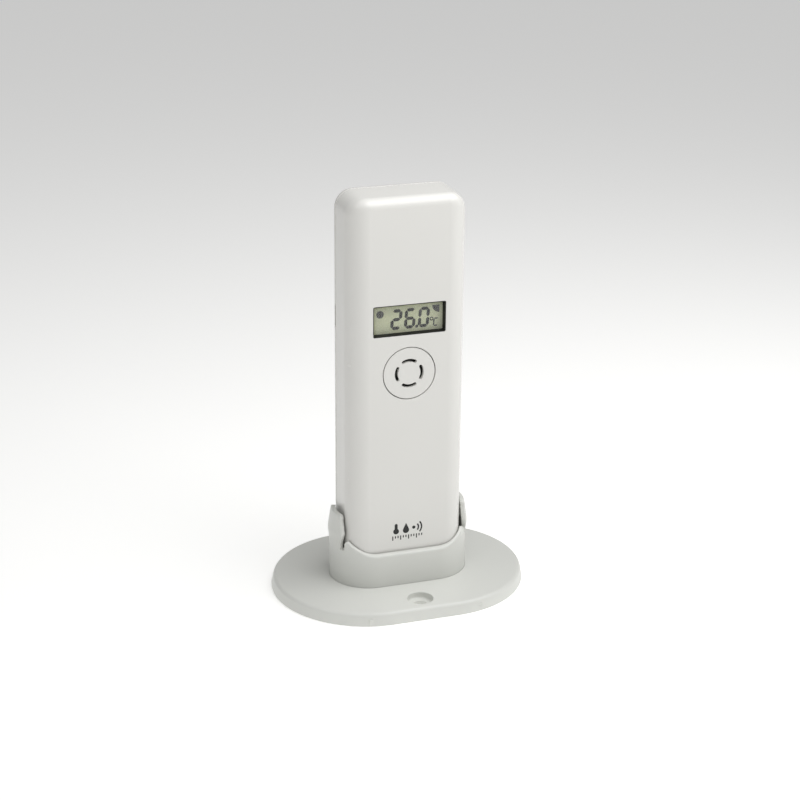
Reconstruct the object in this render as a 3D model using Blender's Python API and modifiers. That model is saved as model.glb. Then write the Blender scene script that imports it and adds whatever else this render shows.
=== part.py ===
"""Wireless temperature and humidity sensor, standing in its push-in table stand.

The sensor is a slim two-shell plastic case with a small display and a round air vent at
the front and two AA cells behind a tilting door at the back. The stand is one moulding: a
flat plate, a socket and two spring clips that hold the case by its sides.

Frame: metres, +Z up, the origin at the centre of the plate's underside. The display looks
along -Y and +X is to its right as the viewer sees it.
"""
import math

import bmesh
import bpy
from mathutils import Matrix, Vector

MM = 0.001
GAP = 0.3 * MM                      # clearance between neighbouring pieces

# Stand
PLATE_LENGTH = 82.6 * MM
PLATE_WIDTH = 61.4 * MM
PLATE_THICKNESS = 4.1 * MM
PLATE_EDGE_ROUND = 1.3 * MM
PLATE_RIM = 2.1 * MM                # thickness of the rim wall under the plate
UNDERSIDE_DEPTH = 1.9 * MM
RIB = 1.2 * MM
SOCKET_LENGTH = 45.0 * MM
SOCKET_WIDTH = 25.2 * MM
SOCKET_FLOOR = 3.3 * MM
SOCKET_ROUND_X = (SOCKET_LENGTH - SOCKET_WIDTH) / 2     # centres of the round ends
RIM_LOW = 15.15 * MM                # socket rim, level along the front and back
RIM_RISE = 4.35 * MM                # then a parabola, this much up over one SOCKET_ROUND_X
SCREW_HOLE_Y = 23.3 * MM
SCREW_HOLE_RADIUS = 2.05 * MM
COUNTERBORE_RADIUS = 4.05 * MM
COUNTERBORE_DEPTH = 2.0 * MM

# Spring clips
CLIP_ROOT = 16.2 * MM
CLIP_TOP = 27.3 * MM
CLIP_THICKNESS = 1.5 * MM
CLIP_WINDOW_HALF = 7.35 * MM

# Sensor case
CASE_WIDTH = 38.2 * MM
CASE_DEPTH = 20.8 * MM
CASE_HEIGHT = 127.0 * MM
CASE_BASE = SOCKET_FLOOR + GAP
CASE_WALL = 1.8 * MM
CORNER_RADIUS = 6.0 * MM            # seen from the front
FRONT_SIDE_ROUND = 6.5 * MM         # upright edges at the front
FRONT_END_ROUND = 3.2 * MM          # top and bottom edges at the front
REAR_SIDE_ROUND = 5.4 * MM
REAR_END_ROUND = 5.3 * MM
PARTING_Y = 4.6 * MM                # plane where the two shells meet

# Display
DISPLAY_Z = 92.4 * MM
DISPLAY_OPENING = (23.3 * MM, 9.9 * MM)
SLEEVE_WALL = 0.5 * MM
LCD_SIZE = (26.0 * MM, 15.0 * MM)

# Air vent
VENT_Z = 75.0 * MM
VENT_RADIUS = 8.57 * MM
VENT_SLOT_OUTER = 4.65 * MM
VENT_SLOT_INNER = 3.6 * MM
VENT_SLOT_SPAN = 64.0               # degrees of arc in each of the four slots

# Electronics and cells
BOARD_LOW = 72.2 * MM
BOARD_HIGH = 114.0 * MM
BOARD_HALF_WIDTH = 14.4 * MM
BOARD_FRONT = -3.9 * MM
BOARD_THICKNESS = 1.6 * MM
BOARD_REAR = BOARD_FRONT + BOARD_THICKNESS
CELL_RADIUS = 7.25 * MM
CELL_LENGTH = 50.5 * MM
CELL_X = 7.45 * MM
CELL_Y = 1.05 * MM
CELL_LOW = 18.4 * MM
CELL_CLEARANCE = 0.25 * MM
TRAY_LOW = 14.0 * MM
TRAY_HIGH = 71.3 * MM

# Battery door
DOOR_HALF_WIDTH = 15.4 * MM
DOOR_LOW = 21.9 * MM                # above the horns of the socket
DOOR_HIGH = 79.2 * MM
DOOR_AXIS = (10.0 * MM, DOOR_LOW + 0.4 * MM)    # Y and Z of the hinge line

# Fasteners
CASE_SCREWS = ((-10.5 * MM, 120.5 * MM), (10.5 * MM, 120.5 * MM), (0.0, 10.0 * MM))
BOARD_SCREWS = (
    (-12.2 * MM, 77.6 * MM),
    (12.2 * MM, 77.6 * MM),
    (-11.6 * MM, 109.5 * MM),
    (11.6 * MM, 109.5 * MM),
)

AXIS_TURN = {
    "X": Matrix.Rotation(math.radians(90), 4, "Z") @ Matrix.Rotation(math.radians(90), 4, "X"),
    "Y": Matrix.Rotation(math.radians(90), 4, "X"),
    "Z": Matrix.Identity(4),
}
AXIS_VECTOR = {"X": Vector((1, 0, 0)), "Y": Vector((0, 1, 0)), "Z": Vector((0, 0, 1))}


# ---------------------------------------------------------------- scene and materials

for old in list(bpy.data.objects):
    bpy.data.objects.remove(old, do_unlink=True)

parts = bpy.data.collections.new("thermo_hygro_sensor")
cutters = bpy.data.collections.new("cutters")
bpy.context.scene.collection.children.link(parts)
bpy.context.scene.collection.children.link(cutters)


def material(name, colour, roughness, metallic=0.0, alpha=1.0):
    """A Principled material with one colour."""
    made = bpy.data.materials.new(name)
    made.use_nodes = True
    shader = made.node_tree.nodes["Principled BSDF"]
    shader.inputs["Base Color"].default_value = (*colour, 1.0)
    shader.inputs["Roughness"].default_value = roughness
    shader.inputs["Metallic"].default_value = metallic
    shader.inputs["Alpha"].default_value = alpha
    made.diffuse_color = (*colour, alpha)
    return made


WHITE_ABS = material("white_abs", (0.76, 0.76, 0.73), 0.32)
STAND_ABS = material("stand_abs", (0.70, 0.71, 0.68), 0.38)
GREY_ABS = material("grey_abs", (0.45, 0.46, 0.45), 0.55)
BLACK_RUBBER = material("black_rubber", (0.02, 0.02, 0.02), 0.7)
CLEAR_PMMA = material("clear_acrylic", (0.95, 0.97, 0.96), 0.05, alpha=0.3)
LCD_GLASS = material("lcd_glass", (0.55, 0.58, 0.38), 0.15)
FOIL = material("reflector_foil", (0.62, 0.64, 0.55), 0.3, 0.6)
GREEN_BOARD = material("fibreglass_board", (0.04, 0.22, 0.09), 0.5)
BLACK_EPOXY = material("black_epoxy", (0.03, 0.03, 0.03), 0.5)
STEEL = material("plated_steel", (0.7, 0.7, 0.68), 0.3, 1.0)
COPPER_WIRE = material("wire_cover_yellow", (0.65, 0.5, 0.1), 0.5)
RED_WIRE = material("wire_cover_red", (0.6, 0.04, 0.03), 0.5)
BLACK_WIRE = material("wire_cover_black", (0.03, 0.03, 0.03), 0.5)
CELL_JACKET = material("cell_jacket", (0.12, 0.2, 0.42), 0.35)
FELT = material("white_membrane", (0.85, 0.85, 0.85), 0.9)
FOAM = material("dark_foam", (0.08, 0.08, 0.08), 0.9)


# ---------------------------------------------------------------- outlines

def arc(centre_u, centre_v, radius, start, end, steps):
    """Points on an arc from start to end in degrees, both ends included."""
    points = []
    for step in range(steps + 1):
        angle = math.radians(start + (end - start) * step / steps)
        points.append((centre_u + radius * math.cos(angle), centre_v + radius * math.sin(angle)))
    return points


def drop_repeats(points):
    """Leaves out a point that lies on the one before it, or on the first."""
    kept = []
    for point in points:
        near = kept[-1:] + kept[:1]
        if all(math.dist(point, other) > 0.01 * MM for other in near):
            kept.append(point)
    return kept


def rounded_rect(width, height, radii, centre=(0.0, 0.0), steps=5):
    """An anticlockwise outline; radii is one radius, or the two at +v and -v."""
    upper, lower = radii if isinstance(radii, tuple) else (radii, radii)
    points = []
    for side_u, side_v, radius, start in (
        (1, 1, upper, 0), (-1, 1, upper, 90), (-1, -1, lower, 180), (1, -1, lower, 270),
    ):
        u = centre[0] + side_u * (width / 2 - radius)
        v = centre[1] + side_v * (height / 2 - radius)
        points += arc(u, v, radius, start, start + 90, steps)
    return drop_repeats(points)


def stadium(length, width, steps=12):
    """A straight-sided outline with half-round ends, long along u."""
    return rounded_rect(length, width, width / 2, steps=steps)


def smooth_line(knots, steps):
    """A Catmull-Rom curve through the knots, any number of dimensions."""
    points = []
    for index in range(len(knots) - 1):
        before = Vector(knots[max(index - 1, 0)])
        start = Vector(knots[index])
        end = Vector(knots[index + 1])
        after = Vector(knots[min(index + 2, len(knots) - 1)])
        for step in range(steps):
            t = step / steps
            points.append(
                0.5 * (2 * start + (end - before) * t
                       + (2 * before - 5 * start + 4 * end - after) * t * t
                       + (3 * start - before - 3 * end + after) * t ** 3)
            )
    points.append(Vector(knots[-1]))
    return points


# ---------------------------------------------------------------- modelling tools

def new_object(name, mesh, finish):
    """Links a mesh as a part, or as a cutter when it has no finish."""
    made = bpy.data.objects.new(name, mesh)
    if finish is None:
        cutters.objects.link(made)
        made.hide_render = True
        made.display_type = "WIRE"
    else:
        parts.objects.link(made)
        mesh.materials.clear()
        mesh.materials.append(finish)
    return made


def weld(mesh):
    """Merges the loose seams that a converted curve has."""
    soup = bmesh.new()
    soup.from_mesh(mesh)
    bmesh.ops.remove_doubles(soup, verts=soup.verts, dist=0.001 * MM)
    soup.to_mesh(mesh)
    soup.free()


def mesh_from_curve(curve, place, name, finish):
    """Makes the curve a welded mesh object at the same place."""
    guide = bpy.data.objects.new(name + "_curve", curve)
    bpy.context.scene.collection.objects.link(guide)
    guide.matrix_world = place
    bpy.context.view_layer.update()
    evaluated = guide.evaluated_get(bpy.context.evaluated_depsgraph_get())
    mesh = bpy.data.meshes.new_from_object(evaluated)
    bpy.data.objects.remove(guide)
    weld(mesh)
    made = new_object(name, mesh, finish)
    made.matrix_world = place
    return made


def prism(name, outlines, low, high, axis="Z", finish=None):
    """Flat outlines (the second and later ones are holes) extruded between two planes.

    The outline's u and v are X and Y along Z, X and Z along Y, and Y and Z along X.
    """
    curve = bpy.data.curves.new(name, "CURVE")
    curve.dimensions = "2D"
    curve.fill_mode = "BOTH"
    curve.extrude = (high - low) / 2
    for outline in outlines:
        spline = curve.splines.new("POLY")
        spline.points.add(len(outline) - 1)
        spline.use_cyclic_u = True
        for point, (u, v) in zip(spline.points, outline):
            point.co = (u, v, 0.0, 1.0)
    shift = Matrix.Translation(AXIS_VECTOR[axis] * (low + high) / 2)
    return mesh_from_curve(curve, shift @ AXIS_TURN[axis], name, finish)


def box(name, low, high, finish=None, bevel=0.0):
    """A block between two corners, with its edges bevelled if asked."""
    size = [b - a for a, b in zip(low, high)]
    shape = bmesh.new()
    bmesh.ops.create_cube(shape, size=1.0)
    bmesh.ops.scale(shape, vec=size, verts=shape.verts)
    mesh = bpy.data.meshes.new(name)
    shape.to_mesh(mesh)
    shape.free()
    made = new_object(name, mesh, finish)
    made.location = [(a + b) / 2 for a, b in zip(low, high)]
    if bevel > 0.0:
        add_bevel(made, bevel, 2)
    return made


def cylinder(name, radius, centre, low, high, axis="Y", finish=None, sides=24):
    """A round bar along an axis; centre holds the other two coordinates in order."""
    shape = bmesh.new()
    bmesh.ops.create_cone(
        shape, cap_ends=True, segments=sides, radius1=radius, radius2=radius, depth=high - low,
    )
    mesh = bpy.data.meshes.new(name)
    shape.to_mesh(mesh)
    shape.free()
    smooth(mesh)
    made = new_object(name, mesh, finish)
    middle = (low + high) / 2
    places = {
        "X": (middle, centre[0], centre[1]),
        "Y": (centre[0], middle, centre[1]),
        "Z": (centre[0], centre[1], middle),
    }
    made.matrix_world = Matrix.Translation(places[axis]) @ AXIS_TURN[axis]
    return made


def turned(name, profile, place, finish, steps=32):
    """A turned piece: a (radius, height) profile, top to bottom, spun about local Z."""
    mesh = bpy.data.meshes.new(name)
    edges = [(index, index + 1) for index in range(len(profile) - 1)]
    mesh.from_pydata([(radius, 0.0, height) for radius, height in profile], edges, [])
    made = new_object(name, mesh, finish)
    made.matrix_world = place
    screw = made.modifiers.new("turn", "SCREW")
    screw.steps = steps
    screw.render_steps = steps
    screw.use_merge_vertices = True
    screw.merge_threshold = 0.001 * MM
    return made


def wire(name, points, radius, finish):
    """A round wire along a list of points."""
    curve = bpy.data.curves.new(name, "CURVE")
    curve.dimensions = "3D"
    curve.bevel_depth = radius
    curve.bevel_resolution = 2
    curve.use_fill_caps = True
    spline = curve.splines.new("POLY")
    spline.points.add(len(points) - 1)
    for point, place in zip(spline.points, points):
        point.co = (*place, 1.0)
    made = bpy.data.objects.new(name, curve)
    curve.materials.append(finish)
    parts.objects.link(made)
    return made


def smooth(mesh):
    """Smooth shading with sharp edges kept."""
    mesh.shade_smooth()
    mesh.set_sharp_from_angle(angle=math.radians(35))


def add_bevel(made, width, segments):
    """Rounds every edge that is sharper than 40 degrees."""
    bevel = made.modifiers.new("edges", "BEVEL")
    bevel.width = width
    bevel.segments = segments
    bevel.limit_method = "ANGLE"
    bevel.angle_limit = math.radians(40)


def combine(made, tools, operation):
    """Adds one exact Boolean with a set of tools: UNION, DIFFERENCE or INTERSECT."""
    group = bpy.data.collections.new("%s_%s" % (made.name, operation.lower()))
    cutters.children.link(group)
    for tool in tools:
        cutters.objects.unlink(tool)
        group.objects.link(tool)
    boolean = made.modifiers.new(operation.lower(), "BOOLEAN")
    boolean.operation = operation
    boolean.solver = "EXACT"
    boolean.operand_type = "COLLECTION"
    boolean.collection = group


def cut(made, *tools):
    combine(made, tools, "DIFFERENCE")


def join(made, *tools):
    combine(made, tools, "UNION")


def on_body(parent_name, place, *members):
    """Hangs the pieces of one moving body on an empty that sits on its joint."""
    empty = bpy.data.objects.new(parent_name, None)
    empty.location = place
    parts.objects.link(empty)
    bpy.context.view_layer.update()
    for member in members:
        world = member.matrix_world.copy()
        member.parent = empty
        member.matrix_world = world
    return empty


# ---------------------------------------------------------------- stand

def rim_height(x):
    """Height of the socket's rim: level, then swept up to the horns beside the clips."""
    reach = max(abs(x) / SOCKET_ROUND_X - 1.0, 0.0)
    return RIM_LOW + RIM_RISE * reach ** 2


def socket_cavity(name, low, high):
    """The straight pocket that the case drops into."""
    radii = (REAR_SIDE_ROUND + GAP, FRONT_SIDE_ROUND + GAP)
    outline = rounded_rect(CASE_WIDTH + 2 * GAP, CASE_DEPTH + 2 * GAP, radii)
    return prism(name, [outline], low, high)


def build_stand_base():
    base = prism(
        "stand_base", [stadium(PLATE_LENGTH, PLATE_WIDTH)], 0.0, PLATE_THICKNESS, finish=STAND_ABS,
    )
    shape = bmesh.new()
    shape.from_mesh(base.data)
    top = [
        edge for edge in shape.edges
        if all(vert.co.z > 0 for vert in edge.verts) and edge.calc_face_angle(0.0) > 1.0
    ]
    bmesh.ops.bevel(
        shape, geom=top, offset=PLATE_EDGE_ROUND, segments=3, affect="EDGES", profile=0.5,
        material=-1,
    )
    shape.to_mesh(base.data)
    shape.free()

    inner = stadium(PLATE_LENGTH - 2 * PLATE_RIM, PLATE_WIDTH - 2 * PLATE_RIM)
    cut(base, prism("underside_pocket", [inner], -1 * MM, UNDERSIDE_DEPTH))

    # Ribs and screw bosses stop a little above the rim that the plate stands on.
    rib_low = 0.15 * MM
    rib_top = UNDERSIDE_DEPTH + 0.3 * MM
    half_length = PLATE_LENGTH / 2 - 1.0 * MM
    half_width = PLATE_WIDTH / 2 - 1.0 * MM
    added = [box("rib_long", (-half_length, -RIB / 2, rib_low), (half_length, RIB / 2, rib_top))]
    for index, x in enumerate((-18 * MM, 18 * MM)):
        low = (x - RIB / 2, -half_width, rib_low + 0.1 * MM)
        high = (x + RIB / 2, half_width, rib_top + 0.1 * MM)
        added.append(box("rib_cross_%d" % index, low, high))
    added.append(cylinder("centre_pad", 4.5 * MM, (0, 0), 0.0, rib_top + 0.2 * MM, "Z"))
    bored = []
    for side in (-1, 1):
        place = (0, side * SCREW_HOLE_Y)
        boss_radius = COUNTERBORE_RADIUS + 1.6 * MM
        added.append(cylinder("screw_boss_%d" % side, boss_radius, place, rib_low, 2.6 * MM, "Z"))
        bore_low = PLATE_THICKNESS - COUNTERBORE_DEPTH
        bored += [
            cylinder("counterbore_%d" % side, COUNTERBORE_RADIUS, place, bore_low, 6 * MM, "Z"),
            cylinder("screw_hole_%d" % side, SCREW_HOLE_RADIUS, place, -1 * MM, 6 * MM, "Z"),
        ]
    wall_low = UNDERSIDE_DEPTH + 0.5 * MM
    added.append(prism("socket_wall", [stadium(SOCKET_LENGTH, SOCKET_WIDTH)], wall_low, 23 * MM))
    join(base, *added)

    samples = 40
    reach = SOCKET_LENGTH / 2 + 1 * MM
    across = [-reach + 2 * reach * step / samples for step in range(samples + 1)]
    rim = [(x, rim_height(x)) for x in across] + [(reach, 40 * MM), (-reach, 40 * MM)]
    window = rounded_rect(
        2 * CLIP_WINDOW_HALF, 30 * MM, (0.5 * MM, 1.3 * MM), (0.0, CLIP_ROOT - GAP + 15 * MM),
    )
    cut(
        base,
        socket_cavity("socket_pocket", SOCKET_FLOOR, 42 * MM),
        prism("rim_sweep", [rim], -15 * MM, 15 * MM, "Y"),
        prism("clip_window_left", [window], -25 * MM, -17 * MM, "X"),
        prism("clip_window_right", [window], 17 * MM, 25 * MM, "X"),
        *bored,
    )
    return base


def build_clip(name, side):
    """A springy tongue cut from the round end of the socket, with a catch inside."""
    outer = arc(SOCKET_ROUND_X, 0.0, SOCKET_WIDTH / 2, -38, 38, 12)
    inner = arc(SOCKET_ROUND_X, 0.0, SOCKET_WIDTH / 2 - CLIP_THICKNESS, 38, -38, 12)
    outline = [(side * x, y) for x, y in outer + inner]
    clip = prism(name, [outline], CLIP_ROOT, CLIP_TOP + 1 * MM, finish=STAND_ABS)
    knots = [
        (6.0 * MM, CLIP_ROOT - 1 * MM),
        (6.0 * MM, CLIP_ROOT + 0.8 * MM),
        (6.35 * MM, 18.4 * MM),
        (6.95 * MM, 19.8 * MM),
        (7.3 * MM, 21.2 * MM),
        (6.85 * MM, 22.8 * MM),
        (6.35 * MM, 24.3 * MM),
        (5.9 * MM, 25.7 * MM),
        (5.2 * MM, CLIP_TOP - 0.7 * MM),
        (3.8 * MM, CLIP_TOP - 0.15 * MM),
        (0.0, CLIP_TOP),
    ]
    half = [tuple(point) for point in smooth_line(knots, 3)]
    face = half + [(-y, z) for y, z in reversed(half[:-1])]
    cut_side = side * 20 * MM
    shape = prism(name + "_face", [face], cut_side - 5 * MM, cut_side + 5 * MM, "X")
    combine(clip, [shape], "INTERSECT")
    cut(clip, socket_cavity(name + "_clearance", 0.0, 40 * MM))
    catch_outline = [(19.4 * MM, 21.9 * MM), (21.4 * MM, 19.4 * MM), (21.4 * MM, 24.4 * MM)]
    catch_outline = [(side * x, z) for x, z in catch_outline]
    join(clip, prism(name + "_catch", [catch_outline], -2.2 * MM, 2.2 * MM, "Y"))
    return clip


# ---------------------------------------------------------------- sensor case

def end_inset(depth, radius):
    """How far a rounded edge stands back at a depth below the face."""
    if depth >= radius:
        return 0.0
    return radius - math.sqrt(radius ** 2 - (radius - depth) ** 2)


def case_shell(name, face_y, rim_y, side_round, end_round, finish):
    """One half of the case: an open cap with its upright and end edges rounded.

    Sections seen from the front are rounded rectangles whose width, height and corner all
    change with depth, so the rings are bridged one by one and the face is filled.
    """
    inward = 1.0 if rim_y > face_y else -1.0
    middle = CASE_BASE + CASE_HEIGHT / 2
    steps = 5
    depths = [side_round * (1 - math.cos(math.radians(90 * i / steps))) for i in range(steps + 1)]
    depths.append(abs(rim_y - face_y))
    shape = bmesh.new()
    rings = []
    for depth in depths:
        side_in = end_inset(depth, side_round)
        end_in = end_inset(depth, end_round)
        outline = rounded_rect(
            CASE_WIDTH - 2 * side_in, CASE_HEIGHT - 2 * end_in,
            CORNER_RADIUS - 0.85 * max(side_in, end_in), (0.0, middle),
        )
        y = face_y + inward * depth
        rings.append([shape.verts.new((x, y, z)) for x, z in outline])
    shape.faces.new(rings[0])
    for near, far in zip(rings, rings[1:]):
        for index, corner in enumerate(near):
            after = (index + 1) % len(near)
            shape.faces.new((corner, near[after], far[after], far[index]))
    bmesh.ops.recalc_face_normals(shape, faces=shape.faces)
    shape.normal_update()
    face = min(shape.faces, key=lambda item: abs(item.calc_center_median().y - face_y))
    if face.normal.y * inward > 0:
        bmesh.ops.reverse_faces(shape, faces=shape.faces)
    mesh = bpy.data.meshes.new(name)
    shape.to_mesh(mesh)
    shape.free()
    smooth(mesh)
    made = new_object(name, mesh, finish)
    wall = made.modifiers.new("wall", "SOLIDIFY")
    wall.thickness = CASE_WALL
    wall.offset = -1.0
    wall.use_even_offset = True
    return made


def case_outline(inset):
    """The case seen from the front, moved inwards by inset."""
    middle = CASE_BASE + CASE_HEIGHT / 2
    return rounded_rect(
        CASE_WIDTH - 2 * inset, CASE_HEIGHT - 2 * inset, CORNER_RADIUS - inset, (0.0, middle),
    )


def build_front_housing():
    front = -CASE_DEPTH / 2
    housing = case_shell(
        "front_housing", front, PARTING_Y - GAP / 2, FRONT_SIDE_ROUND, FRONT_END_ROUND, WHITE_ABS,
    )
    inside = front + CASE_WALL
    posts = []
    bores = []
    for index, place in enumerate(CASE_SCREWS):
        posts.append(
            cylinder("case_post_%d" % index, 3.0 * MM, place, inside - 0.5 * MM, PARTING_Y - GAP)
        )
        bores.append(
            cylinder("case_pilot_%d" % index, 1.45 * MM, place, -5.0 * MM, PARTING_Y + 1 * MM)
        )
    for index, place in enumerate(BOARD_SCREWS):
        posts.append(
            cylinder("board_post_%d" % index, 2.3 * MM, place, inside - 0.5 * MM, BOARD_FRONT - GAP)
        )
        bores.append(cylinder("board_pilot_%d" % index, 1.2 * MM, place, inside, BOARD_FRONT))
    join(housing, *posts)
    opening = rounded_rect(*DISPLAY_OPENING, 0.5 * MM, (0.0, DISPLAY_Z), 2)
    cut(
        housing,
        prism("display_opening", [opening], front - 1 * MM, inside + 1 * MM, "Y"),
        cylinder("vent_hole", VENT_RADIUS, (0, VENT_Z), front - 1 * MM, inside + 1 * MM, sides=48),
        *bores,
    )
    return housing


def door_outline(margin):
    """The door seen from behind, grown by margin."""
    height = DOOR_HIGH - DOOR_LOW + 2 * margin
    middle = (DOOR_HIGH + DOOR_LOW) / 2
    return rounded_rect(2 * (DOOR_HALF_WIDTH + margin), height, 2.5 * MM + margin, (0.0, middle), 3)


def build_rear_cover():
    rear = CASE_DEPTH / 2
    cover = case_shell(
        "rear_cover", rear, PARTING_Y + GAP / 2, REAR_SIDE_ROUND, REAR_END_ROUND, WHITE_ABS,
    )
    inside = rear - CASE_WALL
    cut(cover, prism("door_opening", [door_outline(GAP)], inside - 2 * MM, rear + 1 * MM, "Y"))
    ledge_low = inside - 1.7 * MM
    ledge_high = inside - 0.8 * MM      # clear of the door's curved sides
    wall_ring = [door_outline(1.4 * MM), door_outline(2 * GAP)]
    ledge_ring = [door_outline(1.0 * MM), door_outline(-0.9 * MM)]
    added = [
        prism("ledge_wall", wall_ring, ledge_low, inside + 0.4 * MM, "Y"),
        prism("ledge", ledge_ring, ledge_low + 0.1 * MM, ledge_high, "Y"),
    ]
    bores = []
    for index, place in enumerate(CASE_SCREWS):
        added.append(
            cylinder("screw_cup_%d" % index, 3.6 * MM, place, PARTING_Y + GAP, inside + 0.6 * MM)
        )
        bores.append(cylinder("head_bore_%d" % index, 2.9 * MM, place, 6.9 * MM, rear + 1 * MM))
        bores.append(cylinder("shank_bore_%d" % index, 1.45 * MM, place, 4.0 * MM, rear))
    join(cover, *added)
    # The ledge is scooped out where the foot of each cell stands beside it.
    scoops = [
        cylinder("cell_scoop_%d" % side, CELL_RADIUS + CELL_CLEARANCE, (side * CELL_X, CELL_Y),
                 CELL_LOW - 1 * MM, DOOR_LOW + 4 * MM, "Z", sides=32)
        for side in (-1, 1)
    ]
    cut(cover, *bores, *scoops)
    return cover


def build_battery_door():
    rear = CASE_DEPTH / 2
    door = case_shell(
        "battery_door", rear, PARTING_Y + GAP / 2, REAR_SIDE_ROUND, REAR_END_ROUND, WHITE_ABS,
    )
    shape = prism("door_shape", [door_outline(0.0)], 7.0 * MM, rear + 1 * MM, "Y")
    combine(door, [shape], "INTERSECT")
    inside = rear - CASE_WALL
    snap = box("door_snap", (-4 * MM, 6.2 * MM, 76.6 * MM), (4 * MM, inside + 0.5 * MM, 77.9 * MM))
    join(door, snap)
    grips = []
    for index in range(3):
        z = DOOR_HIGH - (3.2 + 1.6 * index) * MM
        grips.append(
            box("grip_%d" % index, (-5 * MM, rear - 0.4 * MM, z), (5 * MM, rear + 1 * MM, z + 0.7 * MM))
        )
    cut(door, *grips)
    return door


def build_case_gasket():
    low = PARTING_Y - 0.9 * MM
    high = PARTING_Y + 0.9 * MM
    inset = CASE_WALL + GAP
    outlines = [case_outline(inset), case_outline(inset + 0.5 * MM)]
    return prism("case_gasket", outlines, low, high, "Y", FOAM)


def build_screws(name, places, head_radius, head_low, head_high, shank_radius, tip):
    """Like screws at (X, Z) places, one object each, with their heads towards +Y."""
    profile = [
        (0.0, head_high),
        (head_radius - 0.3 * MM, head_high),
        (head_radius, head_high - 0.4 * MM),
        (head_radius, head_low),
        (shank_radius, head_low),
        (shank_radius, tip + 1.0 * MM),
        (0.0, tip),
    ]
    facing = Matrix.Rotation(math.radians(-90), 4, "X")
    screws = []
    for index, (x, z) in enumerate(places):
        place = Matrix.Translation((x, 0.0, z)) @ facing
        screws.append(turned("%s_%d" % (name, index + 1), profile, place, STEEL, 16))
    return screws


# ---------------------------------------------------------------- display

def build_display():
    front = -CASE_DEPTH / 2
    width, height = DISPLAY_OPENING
    middle = (0.0, DISPLAY_Z)
    sleeve_outer = rounded_rect(width - 2 * GAP, height - 2 * GAP, 0.4 * MM, middle, 2)
    inner_width = width - 2 * GAP - 2 * SLEEVE_WALL
    inner_height = height - 2 * GAP - 2 * SLEEVE_WALL
    sleeve_inner = rounded_rect(inner_width, inner_height, 0.3 * MM, middle, 2)
    sleeve = prism(
        "display_gasket", [sleeve_outer, sleeve_inner], front + 0.1 * MM, -7.9 * MM, "Y",
        BLACK_RUBBER,
    )
    pane_outline = rounded_rect(inner_width - 2 * GAP, inner_height - 2 * GAP, 0.3 * MM, middle, 2)
    pane = prism("display_window", [pane_outline], front + 0.5 * MM, -9.1 * MM, "Y", CLEAR_PMMA)

    lcd_width, lcd_height = LCD_SIZE
    low = DISPLAY_Z - lcd_height / 2
    high = DISPLAY_Z + lcd_height / 2
    half = lcd_width / 2
    panel = box("lcd_panel", (-half, -7.6 * MM, low), (half, -5.8 * MM, high), LCD_GLASS)
    add_bevel(panel, 0.15 * MM, 1)
    strip = 1.9 * MM
    foil_low = low + strip + 0.3 * MM
    foil_high = high - strip - 0.3 * MM
    foil = box("lcd_reflector", (-half, -5.5 * MM, foil_low), (half, -5.1 * MM, foil_high), FOIL)
    lower = box(
        "zebra_strip_lower", (-half, -5.5 * MM, low), (half, BOARD_FRONT - GAP, low + strip), FOAM,
    )
    upper = box(
        "zebra_strip_upper", (-half, -5.5 * MM, high - strip), (half, BOARD_FRONT - GAP, high), FOAM,
    )
    wall = 1.4 * MM
    frame_inner = rounded_rect(lcd_width + 2 * GAP, lcd_height + 2 * GAP, 0.3 * MM, middle, 2)
    grown = (lcd_width + 2 * GAP + 2 * wall - 1.0 * MM, lcd_height + 2 * GAP + 2 * wall)
    frame_outer = rounded_rect(*grown, 1.0 * MM, middle, 3)
    frame = prism(
        "lcd_frame", [frame_outer, frame_inner], front + 2.9 * MM, BOARD_FRONT - GAP, "Y",
        GREY_ABS,
    )
    return [sleeve, pane, panel, foil, lower, upper, frame]


# ---------------------------------------------------------------- air vent

def build_vent():
    front = -CASE_DEPTH / 2
    facing = Matrix.Translation((0, 0, VENT_Z)) @ Matrix.Rotation(math.radians(90), 4, "X")
    disc = VENT_RADIUS - GAP
    flange = VENT_RADIUS + 1.1 * MM
    flange_front = -(front + CASE_WALL + GAP)
    flange_back = flange_front - 0.5 * MM
    # Heights count along -Y, so the face is the highest point of the profile.
    profile = [
        (0.0, -front),
        (disc - 0.15 * MM, -front),
        (disc, -front - 0.15 * MM),
        (disc, flange_front),
        (flange, flange_front),
        (flange, flange_back),
        (disc - 1.2 * MM, flange_back),
        (disc - 1.2 * MM, -front - 1.2 * MM),
        (0.0, -front - 1.2 * MM),
    ]
    cap = turned("vent_cap", profile, facing, WHITE_ABS, 48)
    half_span = VENT_SLOT_SPAN / 2
    slots = []
    for index in range(4):
        aim = 90 * index
        outline = arc(0, VENT_Z, VENT_SLOT_OUTER, aim - half_span, aim + half_span, 8)
        outline += arc(0, VENT_Z, VENT_SLOT_INNER, aim + half_span, aim - half_span, 8)
        slots.append(prism("vent_slot_%d" % index, [outline], front - 1 * MM, front + 2 * MM, "Y"))
    cut(cap, *slots)
    membrane = cylinder(
        "vent_membrane", 7.0 * MM - GAP, (0, VENT_Z), front + 1.5 * MM, front + 1.9 * MM,
        finish=FELT, sides=32,
    )
    sensor = box(
        "humidity_sensor", (-2.5 * MM, -6.2 * MM, VENT_Z - 1.5 * MM),
        (2.5 * MM, BOARD_FRONT - GAP, VENT_Z + 4.5 * MM), WHITE_ABS, 0.2 * MM,
    )
    return [cap, membrane, sensor]


# ---------------------------------------------------------------- electronics

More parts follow.
